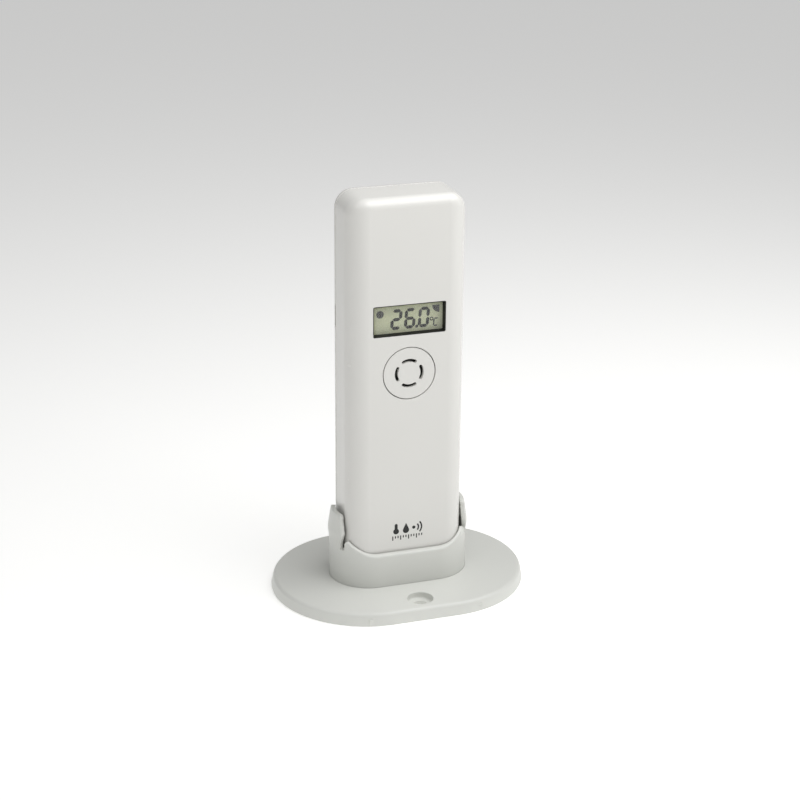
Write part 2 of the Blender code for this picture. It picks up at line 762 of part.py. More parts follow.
def build_electronics():
    middle = (0.0, (BOARD_LOW + BOARD_HIGH) / 2)
    outline = rounded_rect(2 * BOARD_HALF_WIDTH, BOARD_HIGH - BOARD_LOW, 1.5 * MM, middle, 3)
    board = prism("circuit_board", [outline], BOARD_FRONT, BOARD_REAR, "Y", GREEN_BOARD)
    holes = [
        cylinder("board_hole_%d" % index, 1.2 * MM, place, -6 * MM, 0.0)
        for index, place in enumerate(BOARD_SCREWS)
    ]
    cut(board, *holes)
    on_board = BOARD_REAR + GAP
    facing = Matrix.Rotation(math.radians(-90), 4, "X")
    blob = [
        (0.0, 1.5 * MM), (2.6 * MM, 1.35 * MM), (4.2 * MM, 0.9 * MM), (5.0 * MM, 0.0), (0.0, 0.0),
    ]
    chip = turned(
        "controller_chip", blob, Matrix.Translation((0, on_board, 92.5 * MM)) @ facing,
        BLACK_EPOXY, 24,
    )
    radio = box(
        "radio_module", (-3 * MM, on_board, 101 * MM), (8.5 * MM, on_board + 2.2 * MM, 111.5 * MM),
        GREEN_BOARD, 0.2 * MM,
    )
    crystal = box(
        "crystal", (8.0 * MM, on_board, 86 * MM), (10.6 * MM, on_board + 2.2 * MM, 94 * MM),
        STEEL, 0.6 * MM,
    )
    can_radius = 2.5 * MM
    capacitor = cylinder(
        "capacitor", can_radius, (-9.5 * MM, on_board + can_radius), 84 * MM, 94 * MM, "Z",
        BLACK_EPOXY,
    )
    switch_x = 6.5 * MM
    switch_z = 76.0 * MM
    base = box(
        "tx_switch_base", (switch_x - 3 * MM, on_board, switch_z - 2.3 * MM),
        (switch_x + 3 * MM, on_board + 3.5 * MM, switch_z + 3.7 * MM), BLACK_EPOXY, 0.2 * MM,
    )
    key_place = (switch_x, switch_z + 0.7 * MM)
    cut(base, cylinder("key_bore", 2.05 * MM, key_place, on_board + 1.2 * MM, 5 * MM))
    key = cylinder(
        "tx_button", 1.7 * MM, key_place, on_board + 1.8 * MM, on_board + 6.4 * MM, finish=GREY_ABS,
        sides=20,
    )
    add_bevel(key, 0.25 * MM, 2)
    aerial_y = 1.6 * MM
    route = [(5.0 * MM, aerial_y, 112.2 * MM), (5.0 * MM, aerial_y, 121.5 * MM)]
    route += [(x, aerial_y, z) for x, z in arc(0.5 * MM, 122.6 * MM, 4.5 * MM, 10, 90, 5)]
    route += [(-5 * MM, aerial_y, 127.35 * MM)]
    route += [(x, aerial_y, z) for x, z in arc(-10.1 * MM, 122.6 * MM, 5.0 * MM, 95, 180, 7)]
    route += [(-15.1 * MM, aerial_y, z * MM) for z in (112, 102, 92, 86)]
    aerial = wire("antenna", route, 0.45 * MM, COPPER_WIRE)
    return [board, chip, radio, crystal, capacitor, base, aerial], key


# ---------------------------------------------------------------- battery compartment

def cell_profile():
    """An AA cell from its terminal nub down, heights from its flat end."""
    return [
        (0.0, CELL_LENGTH),
        (2.6 * MM, CELL_LENGTH),
        (2.75 * MM, CELL_LENGTH - 0.3 * MM),
        (2.75 * MM, CELL_LENGTH - 1.2 * MM),
        (CELL_RADIUS - 0.6 * MM, CELL_LENGTH - 1.2 * MM),
        (CELL_RADIUS, CELL_LENGTH - 1.7 * MM),
        (CELL_RADIUS, 0.5 * MM),
        (CELL_RADIUS - 0.5 * MM, 0.0),
        (0.0, 0.0),
    ]


def coil_points(centre, low, high, wide, narrow, turns):
    """A conical spring's wire, wide turn at low."""
    per_turn = 10
    total = int(turns * per_turn)
    points = []
    for step in range(total + 1):
        share = step / total
        angle = 2 * math.pi * turns * share
        radius = wide + (narrow - wide) * share
        points.append(
            (centre[0] + radius * math.cos(angle), centre[1] + radius * math.sin(angle),
             low + (high - low) * share)
        )
    return points


def build_battery_bay():
    tray_x = 16.0 * MM
    tray_front = -7.5 * MM
    tray_rear = 6.5 * MM
    wall = 1.2 * MM
    body = rounded_rect(
        2 * tray_x, tray_rear - tray_front, (0.4 * MM, 3.2 * MM),
        (0.0, (tray_rear + tray_front) / 2), 4,
    )
    tray = prism("battery_tray", [body], TRAY_LOW, TRAY_HIGH, finish=GREY_ABS)
    inner_depth = 20 * MM
    hollow = rounded_rect(
        2 * (tray_x - wall), inner_depth, (0.4 * MM, 2.2 * MM),
        (0.0, tray_front + wall + inner_depth / 2), 4,
    )
    cut(tray, prism("tray_hollow", [hollow], TRAY_LOW + wall, TRAY_HIGH - wall))
    join(
        tray,
        box("tray_keel", (-0.5 * MM, tray_front + 0.5 * MM, TRAY_LOW + 0.5 * MM),
            (0.5 * MM, -4.4 * MM, TRAY_HIGH - 0.5 * MM)),
    )
    slots = []
    for side in (-1, 1):
        x = side * CELL_X
        low = (x - 1.8 * MM, 3.6 * MM, TRAY_HIGH - 2 * MM)
        high = (x + 1.8 * MM, 5.0 * MM, TRAY_HIGH + 1 * MM)
        slots.append(box("tab_slot_%d" % side, low, high))
    cut(tray, *slots)

    up = Matrix.Translation((-CELL_X, CELL_Y, CELL_LOW))
    cell_left = turned("battery_left", cell_profile(), up, CELL_JACKET)
    down = Matrix.Translation((CELL_X, CELL_Y, CELL_LOW + CELL_LENGTH))
    down = down @ Matrix.Rotation(math.radians(180), 4, "X")
    cell_right = turned("battery_right", cell_profile(), down, CELL_JACKET)

    sheet = 0.4 * MM
    top = TRAY_HIGH - wall - GAP
    tab_top = TRAY_HIGH + 1.6 * MM

    def plate(name, x, low, high):
        return box(
            name, (x - 4.5 * MM, CELL_Y - 4.5 * MM, low), (x + 4.5 * MM, CELL_Y + 4.5 * MM, high),
            STEEL,
        )

    def tab(name, x):
        return box(
            name, (x - 1.5 * MM, 4.0 * MM, top - sheet / 2), (x + 1.5 * MM, 4.6 * MM, tab_top),
        )

    positive = plate("positive_contact", -CELL_X, top - sheet, top)
    join(positive, tab("positive_tab", -CELL_X))

    negative = plate("negative_contact", CELL_X, top - sheet, top)
    join(negative, tab("negative_tab", CELL_X))

    link_low = TRAY_LOW + wall + GAP
    link = box(
        "link_contact", (-CELL_X - 4.5 * MM, CELL_Y - 4.5 * MM, link_low),
        (CELL_X + 4.5 * MM, CELL_Y + 4.5 * MM, link_low + sheet), STEEL,
    )
    coil = coil_points(
        (-CELL_X, CELL_Y), link_low + sheet + GAP + 0.35 * MM, CELL_LOW - GAP - 0.35 * MM,
        4.0 * MM, 2.0 * MM, 2.4,
    )
    spring = wire("contact_spring", coil, 0.3 * MM, STEEL)

    leads = []
    for name, x, finish in (
        ("red_lead", -CELL_X, RED_WIRE), ("black_lead", CELL_X - 6.4 * MM, BLACK_WIRE),
    ):
        knots = [
            (x, 3.2 * MM, tab_top + 0.9 * MM),
            (x, 1.6 * MM, tab_top + 1.6 * MM),
            (x, 0.2 * MM, tab_top + 2.6 * MM),
            (x, -1.4 * MM, tab_top + 5.2 * MM),
        ]
        leads.append(wire(name, smooth_line(knots, 3), 0.45 * MM, finish))
    return [tray, cell_left, cell_right, positive, negative, link, spring] + leads


# ---------------------------------------------------------------- assembly

stand = build_stand_base()
on_body("stand", (0, 0, 0), stand)

hinge_x = SOCKET_LENGTH / 2 - 1.0 * MM
left_clip = build_clip("left_clip", -1)
right_clip = build_clip("right_clip", 1)
on_body("left_clip_hinge", (-hinge_x, 0, CLIP_ROOT), left_clip)
on_body("right_clip_hinge", (hinge_x, 0, CLIP_ROOT), right_clip)

electronics, tx_button = build_electronics()
sensor_parts = [build_front_housing(), build_rear_cover(), build_case_gasket()]
sensor_parts += build_display()
sensor_parts += build_vent()
sensor_parts += electronics
sensor_parts += build_battery_bay()
sensor_parts += build_screws(
    "case_screw", CASE_SCREWS, 2.5 * MM, 7.2 * MM, 8.8 * MM, 1.1 * MM, -3.0 * MM,
)
sensor_parts += build_screws(
    "board_screw", BOARD_SCREWS, 1.8 * MM, BOARD_REAR + GAP, BOARD_REAR + 1.4 * MM, 0.85 * MM,
    -7.4 * MM,
)
sensor_empty = on_body("sensor_slide", (0, 0, CASE_BASE), *sensor_parts)
door_empty = on_body("battery_door_hinge", (0, *DOOR_AXIS), build_battery_door())
key_empty = on_body("tx_button_slide", tx_button.matrix_world.translation.copy(), tx_button)
bpy.context.view_layer.update()
for carried in (door_empty, key_empty):
    place = carried.matrix_world.copy()
    carried.parent = sensor_empty
    carried.matrix_world = place
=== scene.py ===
"""A wireless room sensor in its table stand: the finished look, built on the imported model.

The sensor is a slim white two-shell case with a small display and a round air vent. It
stands in a socket moulded on a flat plate, between two spring clips.
"""
import functools
import math

import bmesh
import bpy
from mathutils import Matrix, Vector


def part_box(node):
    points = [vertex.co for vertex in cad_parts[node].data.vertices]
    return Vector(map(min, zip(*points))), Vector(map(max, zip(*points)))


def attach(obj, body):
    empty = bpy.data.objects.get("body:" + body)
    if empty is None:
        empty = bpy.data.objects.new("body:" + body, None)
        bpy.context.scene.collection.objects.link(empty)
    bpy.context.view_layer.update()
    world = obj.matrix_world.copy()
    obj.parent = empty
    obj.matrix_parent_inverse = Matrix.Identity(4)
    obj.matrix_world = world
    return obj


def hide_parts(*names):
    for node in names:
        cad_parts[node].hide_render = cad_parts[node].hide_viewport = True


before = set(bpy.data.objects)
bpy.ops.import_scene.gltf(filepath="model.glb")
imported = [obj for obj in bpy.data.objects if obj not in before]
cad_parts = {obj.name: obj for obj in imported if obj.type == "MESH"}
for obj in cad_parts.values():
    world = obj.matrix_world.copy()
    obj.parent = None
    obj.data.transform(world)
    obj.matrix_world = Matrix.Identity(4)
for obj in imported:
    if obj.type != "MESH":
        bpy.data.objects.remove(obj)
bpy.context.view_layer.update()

MM = 0.001
scene = bpy.context.scene


# ------------------------------------------------------------ table, light and camera
# A white table that glows a little, as a lit product table does, so that the moulding
# throws hardly any shadow. Soft boxes stand to the right, to the left and above the display,
# and the lens looks down on the sensor from a little to its left.

def linear(colour):
    """The linear value of an sRGB hex colour, with full alpha."""
    parts = [int(colour[start:start + 2], 16) / 255 for start in (1, 3, 5)]
    return (*[p / 12.92 if p <= 0.04045 else ((p + 0.055) / 1.055) ** 2.4 for p in parts], 1.0)


def new_material(name, colour, roughness, **sockets):
    """A Principled material; the other sockets are named as the shader names them."""
    made = bpy.data.materials.new(name)
    made.use_nodes = True
    shader = made.node_tree.nodes["Principled BSDF"]
    shader.inputs["Base Color"].default_value = linear(colour)
    shader.inputs["Roughness"].default_value = roughness
    for socket, value in sockets.items():
        shader.inputs[socket.replace("_", " ")].default_value = value
    return made


def add_node(material, kind, inputs=(), **settings):
    """Adds a node with its settings; inputs are (socket, value or the output it takes)."""
    tree = material.node_tree
    made = tree.nodes.new(kind)
    for name, value in settings.items():
        setattr(made, name, value)
    for socket, value in inputs:
        if isinstance(value, bpy.types.NodeSocket):
            tree.links.new(value, made.inputs[socket])
        else:
            made.inputs[socket].default_value = value
    return made


def into_shader(material, **links):
    """Links node outputs to the Principled shader's sockets."""
    shader = material.node_tree.nodes["Principled BSDF"]
    for socket, output in links.items():
        material.node_tree.links.new(output, shader.inputs[socket.replace("_", " ")])


scene.view_settings.view_transform = "Standard"
scene.world = bpy.data.worlds.new("studio")
scene.world.use_nodes = True
surround = scene.world.node_tree.nodes["Background"]
surround.inputs["Color"].default_value = linear("#FFFFFF")
SURROUND_LIGHT = 0.25  # what it lights with; it is seen as white
seen = add_node(scene.world, "ShaderNodeLightPath").outputs["Is Camera Ray"]
level_of_white = add_node(
    scene.world, "ShaderNodeMapRange",
    [("Value", seen), ("To Min", SURROUND_LIGHT), ("To Max", 1.0)],
)
scene.world.node_tree.links.new(level_of_white.outputs["Result"], surround.inputs["Strength"])

TABLE_HALF_WIDTH = 3.0
TABLE_DROP = 0.05 * MM  # just clear of the stand's underside
TABLE_GLOW = 0.34
table_shape = bmesh.new()
bmesh.ops.create_grid(table_shape, x_segments=1, y_segments=1, size=TABLE_HALF_WIDTH)
table_mesh = bpy.data.meshes.new("table")
table_shape.to_mesh(table_mesh)
table_shape.free()
table = bpy.data.objects.new("table", table_mesh)
table.location.z = -TABLE_DROP
scene.collection.objects.link(table)
# Matt white board, lit from below: a flat white with no gloss.
table_white = new_material("lit_white_table", "#F4F4F2", 0.9)
glow = table_white.node_tree.nodes["Principled BSDF"]
glow.inputs["Emission Color"].default_value = linear("#FFFFFF")
glow.inputs["Emission Strength"].default_value = TABLE_GLOW
table_mesh.materials.append(table_white)

AIM = Vector((0.5 * MM, 0.0, 62.25 * MM))


def soft_light(name, azimuth, elevation, distance, size, power):
    """A square soft box that faces the sensor; azimuth 0 is in front, 90 to the right."""
    turn, rise = math.radians(azimuth), math.radians(elevation)
    out = Vector((
        math.sin(turn) * math.cos(rise), -math.cos(turn) * math.cos(rise), math.sin(rise),
    ))
    lamp = bpy.data.lights.new(name, "AREA")
    lamp.size = size
    lamp.energy = power
    holder = bpy.data.objects.new(name, lamp)
    holder.location = AIM + out * distance
    holder.rotation_euler = out.to_track_quat("Z", "Y").to_euler()
    scene.collection.objects.link(holder)


soft_light("key_right", 62, 56, 0.4, 0.4, 1.25)
soft_light("fill_left", -70, 62, 0.5, 0.5, 0.6)
soft_light("above", 0, 60, 0.25, 0.15, 0.1)

camera_data = bpy.data.cameras.new("camera")
camera_data.sensor_width = 36.0
camera_data.lens = 84.66
CAMERA_DISTANCE = 592.2 * MM
camera_data.clip_start = 0.01
camera = bpy.data.objects.new("camera", camera_data)
CAMERA_AZIMUTH, CAMERA_HEIGHT, CAMERA_ROLL = math.radians(-18.37), math.radians(21.34), 0.008
back = Vector((
    math.sin(CAMERA_AZIMUTH) * math.cos(CAMERA_HEIGHT),
    -math.cos(CAMERA_AZIMUTH) * math.cos(CAMERA_HEIGHT),
    math.sin(CAMERA_HEIGHT),
))
camera.matrix_world = (
    Matrix.Translation(AIM + back * CAMERA_DISTANCE)
    @ (-back).to_track_quat("-Z", "Y").to_matrix().to_4x4()
    @ Matrix.Rotation(CAMERA_ROLL, 4, "Z")
)
scene.collection.objects.link(camera)
scene.camera = camera


# ------------------------------------------------------------ stand moulding
# One ABS injection moulding: a stadium-shaped plate with a hollow underside and ribs, and
# the wall of the socket rising from it. The wall is open at both ends for the clips.

def arc(centre_u, centre_v, radius, start, end, steps):
    """Points on an arc from start to end in degrees, both ends included."""
    angles = [math.radians(start + (end - start) * step / steps) for step in range(steps + 1)]
    return [
        (centre_u + radius * math.cos(angle), centre_v + radius * math.sin(angle))
        for angle in angles
    ]


def rounded_rect(width, height, radii, centre=(0.0, 0.0), steps=16):
    """An anticlockwise outline; radii is one radius, or the two at +v and -v."""
    upper, lower = radii if isinstance(radii, tuple) else (radii, radii)
    points = []
    for side_u, side_v, radius, start in (
        (1, 1, upper, 0), (-1, 1, upper, 90), (-1, -1, lower, 180), (1, -1, lower, 270),
    ):
        u = centre[0] + side_u * (width / 2 - radius)
        v = centre[1] + side_v * (height / 2 - radius)
        points += arc(u, v, radius, start, start + 90, steps)
    return points


def level(outline, z):
    """A flat outline laid at a height."""
    return [(x, y, z) for x, y in outline]


def upright(outline, y):
    """An outline seen from the front, standing at a depth."""
    return [(x, y, z) for x, z in outline]


MERGE = 0.0005 * MM  # points this close are one point


def loft(shape, rings, closed=False):
    """Extrudes a ring of edges through a row of rings, and fills or joins the two ends."""
    loop = [shape.verts.new(point) for point in rings[0]]
    edges = [shape.edges.new(pair) for pair in zip(loop, loop[1:] + loop[:1])]
    if not closed:
        bmesh.ops.contextual_create(shape, geom=edges)
    for ring in rings[1:] + (rings[:1] if closed else []):
        grown = bmesh.ops.extrude_edge_only(shape, edges=edges)["geom"]
        copies = {tuple(item.co): item for item in grown if isinstance(item, bmesh.types.BMVert)}
        loop = [copies[tuple(corner.co)] for corner in loop]
        for corner, point in zip(loop, ring):
            corner.co = point
        edges = [shape.edges.get(pair) for pair in zip(loop, loop[1:] + loop[:1])]
    if closed:
        bmesh.ops.remove_doubles(shape, verts=shape.verts, dist=MERGE)
    else:
        bmesh.ops.contextual_create(shape, geom=edges)


def solid(name, *ring_rows, closed=False):
    """An object from one or more lofts, with its faces outwards."""
    shape = bmesh.new()
    for rings in ring_rows:
        loft(shape, rings, closed)
    return solid_from(name, shape)


def solid_from(name, shape):
    """An object from a bmesh, with its faces outwards."""
    bmesh.ops.recalc_face_normals(shape, faces=shape.faces)
    mesh = bpy.data.meshes.new(name)
    shape.to_mesh(mesh)
    shape.free()
    made = bpy.data.objects.new(name, mesh)
    scene.collection.objects.link(made)
    return made


def block(name, low, high, edge=0.0):
    """A block between two corners, its edges rounded if asked."""
    shape = bmesh.new()
    bmesh.ops.create_cube(shape, size=1.0)
    bmesh.ops.scale(shape, vec=Vector(high) - Vector(low), verts=shape.verts)
    bmesh.ops.translate(shape, vec=(Vector(high) + Vector(low)) / 2, verts=shape.verts)
    if edge:
        bmesh.ops.bevel(
            shape, geom=shape.edges[:], offset=edge, affect="EDGES", segments=3, profile=0.5,
            material=-1,
        )
    return solid_from(name, shape)


def turned(name, profile, centre=(0.0, 0.0, 0.0), axis=(0, 0, 1), steps=64):
    """A profile of (radius, height) points spun about an axis through the centre."""
    shape = bmesh.new()
    line = [shape.verts.new((radius, 0.0, height)) for radius, height in profile]
    edges = [shape.edges.new(pair) for pair in zip(line, line[1:])]
    bmesh.ops.spin(
        shape, geom=line + edges, cent=(0, 0, 0), axis=(0, 0, 1), angle=math.tau, steps=steps,
        use_merge=True,
    )
    bmesh.ops.remove_doubles(shape, verts=shape.verts, dist=MERGE)
    turn = Vector(axis).to_track_quat("Z", "Y").to_matrix()
    bmesh.ops.rotate(shape, cent=(0, 0, 0), matrix=turn, verts=shape.verts)
    bmesh.ops.translate(shape, vec=centre, verts=shape.verts)
    return solid_from(name, shape)


def combine(target, operation, *tools):
    """Applies one exact Boolean with several solids, which it uses up."""
    group = bpy.data.collections.new("tools")
    scene.collection.children.link(group)
    for tool in tools:
        scene.collection.objects.unlink(tool)
        group.objects.link(tool)
    boolean = target.modifiers.new(operation.lower(), "BOOLEAN")
    boolean.operation = operation
    boolean.operand_type = "COLLECTION"
    boolean.collection = group
    evaluated = target.evaluated_get(bpy.context.evaluated_depsgraph_get())
    mesh = bpy.data.meshes.new_from_object(evaluated)
    target.modifiers.clear()
    target.data = mesh
    for tool in tools:
        bpy.data.objects.remove(tool)
    bpy.data.collections.remove(group)


CREASE = math.radians(35)  # a steeper edge is shaded sharp


def finish(piece, material, body, slot, *replaced):
    """Shades a piece, gives it its material and hangs it on its body; the slot is not used."""
    piece.data.materials.clear()
    piece.data.materials.append(material)
    piece.data.shade_smooth()
    piece.data.set_sharp_from_angle(angle=CREASE)
    flats = piece.modifiers.new("flat faces stay flat", "WEIGHTED_NORMAL")
    flats.keep_sharp = True
    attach(piece, body)
    if replaced:
        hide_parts(*replaced)
    return piece


def noise(material, size, detail=2.0):
    """A noise node on the object's own coordinates, in metres."""
    return add_node(
        material, "ShaderNodeTexNoise",
        [("Vector", own_place(material)), ("Scale", 1 / size), ("Detail", detail)],
    )


def own_place(material):
    return add_node(material, "ShaderNodeTexCoord").outputs["Object"]


def blend(material, share, first, second, **settings):
    """A blend of two hex colours or colour outputs."""
    first, second = [linear(item) if isinstance(item, str) else item for item in (first, second)]
    return add_node(
        material, "ShaderNodeMix", [(0, share), (6, first), (7, second)],
        data_type="RGBA", **settings,
    ).outputs[2]


def raised(material, strength, depth, height):
    """The surface's direction when a pattern is raised on it."""
    return add_node(
        material, "ShaderNodeBump",
        [("Strength", strength), ("Distance", depth), ("Height", height)],
    ).outputs["Normal"]


def spread(material, value, low, high):
    """A pattern from 0 to 1, spread over another range."""
    return add_node(
        material, "ShaderNodeMapRange", [("Value", value), ("To Min", low), ("To Max", high)],
    ).outputs["Result"]


def moulded_plastic(name, colour, shade, roughness, grain=0.35 * MM, relief=0.02):
    """Injection-moulded plastic: its two close colours drift, and its skin is finely eroded.

    The drift is the slow flow of the melt over 25 mm. The spark-eroded grain of the mould is
    really near 0.05 mm, and is drawn at the given size so that it shows.
    """
    made = new_material(name, colour, roughness, IOR=1.53)
    flow = noise(made, 25 * MM).outputs["Fac"]
    skin = noise(made, grain, 3.0).outputs["Fac"]
    into_shader(
        made, Base_Color=blend(made, flow, colour, shade), Normal=raised(made, relief, grain, skin),
        Roughness=spread(made, flow, roughness - 0.04, roughness + 0.04),
    )
    return made


# Moulded ABS with a fine grain: a slightly grey white with a soft, broad sheen.
STAND_WHITE = moulded_plastic("stand_white_abs", "#DCDDD8", "#D8D9D4", 0.36)

plate_low, plate_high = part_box("stand_base")
PLATE_LENGTH = plate_high.x - plate_low.x
PLATE_WIDTH = plate_high.y - plate_low.y
PLATE_TOP = 4.1 * MM
SOCKET_LENGTH, SOCKET_WIDTH = 45.0 * MM, 25.2 * MM
SOCKET_RADIUS = SOCKET_WIDTH / 2
ROUND_X = (SOCKET_LENGTH - SOCKET_WIDTH) / 2  # centres of the socket's round ends
SOCKET_FLOOR = 3.3 * MM
RIM_LOW, RIM_RISE = 15.15 * MM, 4.35 * MM
WINDOW_HALF = 7.35 * MM  # half the width of a clip's window
WINDOW_FLOOR = 15.9 * MM
SCREW_HOLE_Y = 23.3 * MM
CAVITY_HALF_WIDTH, CAVITY_HALF_DEPTH = 19.4 * MM, 10.7 * MM
CAVITY_FRONT_ROUND, CAVITY_REAR_ROUND = 6.8 * MM, 5.7 * MM


def stadium(length, width, z, steps=40):
    """A level ring with half-round ends, long along X."""
    return level(rounded_rect(length, width, width / 2 - 0.001 * MM, steps=steps), z)


def plate_ring(inset, z):
    return stadium(PLATE_LENGTH - 2 * inset, PLATE_WIDTH - 2 * inset, z)


# The edge leans in as it rises, for the mould's draft, and rolls over into the top.
ROLL_START = (0.5 * MM, 2.7 * MM)
ROLL = (1.3 * MM, PLATE_TOP - ROLL_START[1])
edge_profile = [(0.3 * MM, 0.0), (0.08 * MM, 0.1 * MM), (0.0, 0.35 * MM)]
for turn in range(12, 91, 6):
    across = 1 - math.cos(math.radians(turn))
    up = math.sin(math.radians(turn))
    edge_profile.append((ROLL_START[0] + ROLL[0] * across, ROLL_START[1] + ROLL[1] * up))
plate = solid("stand_moulding", [plate_ring(inset, z) for inset, z in edge_profile])

GROOVE = 0.16 * MM
socket_pocket = rounded_rect(
    2 * CAVITY_HALF_WIDTH + 1.0 * MM, 2 * CAVITY_HALF_DEPTH + 1.0 * MM,
    (CAVITY_REAR_ROUND, CAVITY_FRONT_ROUND),
)
RIM_INSET, UNDERSIDE_DEPTH = 2.1 * MM, 1.9 * MM
combine(
    plate, "DIFFERENCE",
    solid("pocket", [level(socket_pocket, SOCKET_FLOOR), level(socket_pocket, 9 * MM)]),
    solid("groove", [
        stadium(SOCKET_LENGTH + 2 * GROOVE, SOCKET_WIDTH + 2 * GROOVE, PLATE_TOP - 0.25 * MM),
        stadium(SOCKET_LENGTH + 2 * GROOVE, SOCKET_WIDTH + 2 * GROOVE, 9 * MM),
    ]),
    solid("underside", [
        plate_ring(RIM_INSET - 0.15 * MM, -1 * MM), plate_ring(RIM_INSET, 0.3 * MM),
        plate_ring(RIM_INSET + 0.1 * MM, UNDERSIDE_DEPTH - 0.3 * MM),
        plate_ring(RIM_INSET + 0.4 * MM, UNDERSIDE_DEPTH),
    ]),
)


def cavity_reach(angle):
    """How far the case's pocket reaches from a round end's centre, at an angle in plan."""
    along, across = math.cos(angle), math.sin(angle)
    corner = CAVITY_REAR_ROUND if across > 0 else CAVITY_FRONT_ROUND
    side = CAVITY_HALF_WIDTH - ROUND_X
    centre = (side - corner, CAVITY_HALF_DEPTH - corner)
    if along > 1e-6 and side / along * abs(across) <= centre[1]:
        return side / along
    if abs(across) > 1e-6 and CAVITY_HALF_DEPTH / abs(across) * along <= centre[0]:
        return CAVITY_HALF_DEPTH / abs(across)
    toward = along * centre[0] + abs(across) * centre[1]
    return toward + math.sqrt(toward ** 2 - centre[0] ** 2 - centre[1] ** 2 + corner ** 2)


def rim_height(x):
    """The rim is level along the straight sides and sweeps up round the ends."""
    return RIM_LOW + RIM_RISE * max(abs(x) / ROUND_X - 1.0, 0.0) ** 2


WALL_FOOT = 3.0 * MM  # buried in the plate
INNER_ROUND = 0.25 * MM


def wall_section(outer, inner, top, outer_round):
    """A standing section of the wall between an outer and an inner point, rounded on top."""
    outer, inner = Vector(outer), Vector(inner)
    thick = (inner - outer).length
    aim = (inner - outer).normalized()
    profile = [(0.0, WALL_FOOT + 0.2 * MM), (0.0, top - outer_round)]
    profile += [
        (outer_round * (1 - math.cos(a)), top - outer_round * (1 - math.sin(a)))
        for a in [math.radians(15 * step) for step in range(1, 7)]
    ]
    profile += [
        (thick - INNER_ROUND * (1 - math.sin(a)), top - INNER_ROUND * (1 - math.cos(a)))
        for a in [math.radians(30 * step) for step in range(4)]
    ]
    profile.append((thick, WALL_FOOT))
    return [(*(outer + aim * depth), z) for depth, z in profile]


# Each half of the wall is walked from the middle of the window round one end.
HORN_ANGLE = math.asin(WINDOW_HALF / SOCKET_RADIUS)
CORNER = 1.0 * MM  # rounds of the slit's foot and the horn
CORNER_TURN = CORNER / SOCKET_RADIUS  # the same, as an angle round the end
SILL_ROUND = 0.05 * MM  # the sill runs on into the clip
stations = []  # (angle from the X axis, height, round)
for step in range(13):
    stations.append((step / 12 * (HORN_ANGLE - CORNER_TURN), WINDOW_FLOOR, SILL_ROUND))
for step in range(1, 7):
    a = math.radians(15 * step)
    angle = HORN_ANGLE - CORNER_TURN * (1 - math.sin(a))
    stations.append((angle, WINDOW_FLOOR + CORNER * (1 - math.cos(a)), 0.2 * MM))
horn_top = rim_height(ROUND_X + SOCKET_RADIUS * math.cos(HORN_ANGLE + CORNER_TURN))
for step in range(7):
    a = math.radians(15 * step)
    angle = HORN_ANGLE + 0.0005 + CORNER_TURN * (1 - math.cos(a))
    stations.append((angle, horn_top - CORNER * (1 - math.sin(a)), (0.2 + 0.1 * step) * MM))
SWEEP_STEPS = 26
sweep_from = stations[-1][0]
for step in range(1, SWEEP_STEPS + 1):
    angle = sweep_from + (math.pi / 2 - sweep_from) * step / SWEEP_STEPS
    x = ROUND_X + SOCKET_RADIUS * math.cos(angle)
    stations.append((angle, rim_height(x), min(0.8 + 0.05 * step, 0.95) * MM))

quarter = []
for angle, top, outer_round in stations:
    outer = (ROUND_X + SOCKET_RADIUS * math.cos(angle), SOCKET_RADIUS * math.sin(angle))
    quarter.append((outer, angle, top, outer_round))


def wall_quarter(side_x, side_y):
    """Sections of one quarter of the wall, from the window round to the straight side."""
    rings = []
    for (x, y), angle, top, outer_round in quarter:
        reach = cavity_reach(side_y * angle)
        inner = (ROUND_X + reach * math.cos(angle), reach * math.sin(angle))
        rings.append(wall_section(
            (side_x * x, side_y * y), (side_x * inner[0], side_y * inner[1]), top, outer_round,
        ))
    return rings


wall_rings = wall_quarter(1, -1)[1:]
wall_rings += wall_quarter(-1, -1)[::-1][:-1]
wall_rings += wall_quarter(-1, 1)
wall_rings += wall_quarter(1, 1)[::-1]
wall = solid("wall", wall_rings, closed=True)

BOSS_RADIUS, BORE_RADIUS, COUNTERBORE_RADIUS = 5.65 * MM, 2.05 * MM, 4.05 * MM
RIB, RIB_LOW, RIB_TOP = 1.2 * MM, 0.15 * MM, UNDERSIDE_DEPTH + 0.3 * MM
added = [wall]
added.append(block(
    "rib_long", (-PLATE_LENGTH / 2 + 1 * MM, -RIB / 2, RIB_LOW),
    (PLATE_LENGTH / 2 - 1 * MM, RIB / 2, RIB_TOP),
))
for x in (-18 * MM, 18 * MM):
    added.append(block(
        "rib_cross", (x - RIB / 2, -PLATE_WIDTH / 2 + 1 * MM, RIB_LOW + 0.1 * MM),
        (x + RIB / 2, PLATE_WIDTH / 2 - 1 * MM, RIB_TOP + 0.1 * MM),
    ))
added.append(turned("pad", [(0, 0), (4.3 * MM, 0), (4.5 * MM, 0.2 * MM), (4.5 * MM, 2.4 * MM),
                            (0, 2.4 * MM)]))
for y in (-SCREW_HOLE_Y, SCREW_HOLE_Y):
    added.append(turned(
        "boss", [(0, RIB_LOW), (BOSS_RADIUS - 0.2 * MM, RIB_LOW),
                 (BOSS_RADIUS, RIB_LOW + 0.2 * MM), (BOSS_RADIUS, 2.6 * MM), (0, 2.6 * MM)],
        (0, y, 0),
    ))
combine(plate, "UNION", *added)

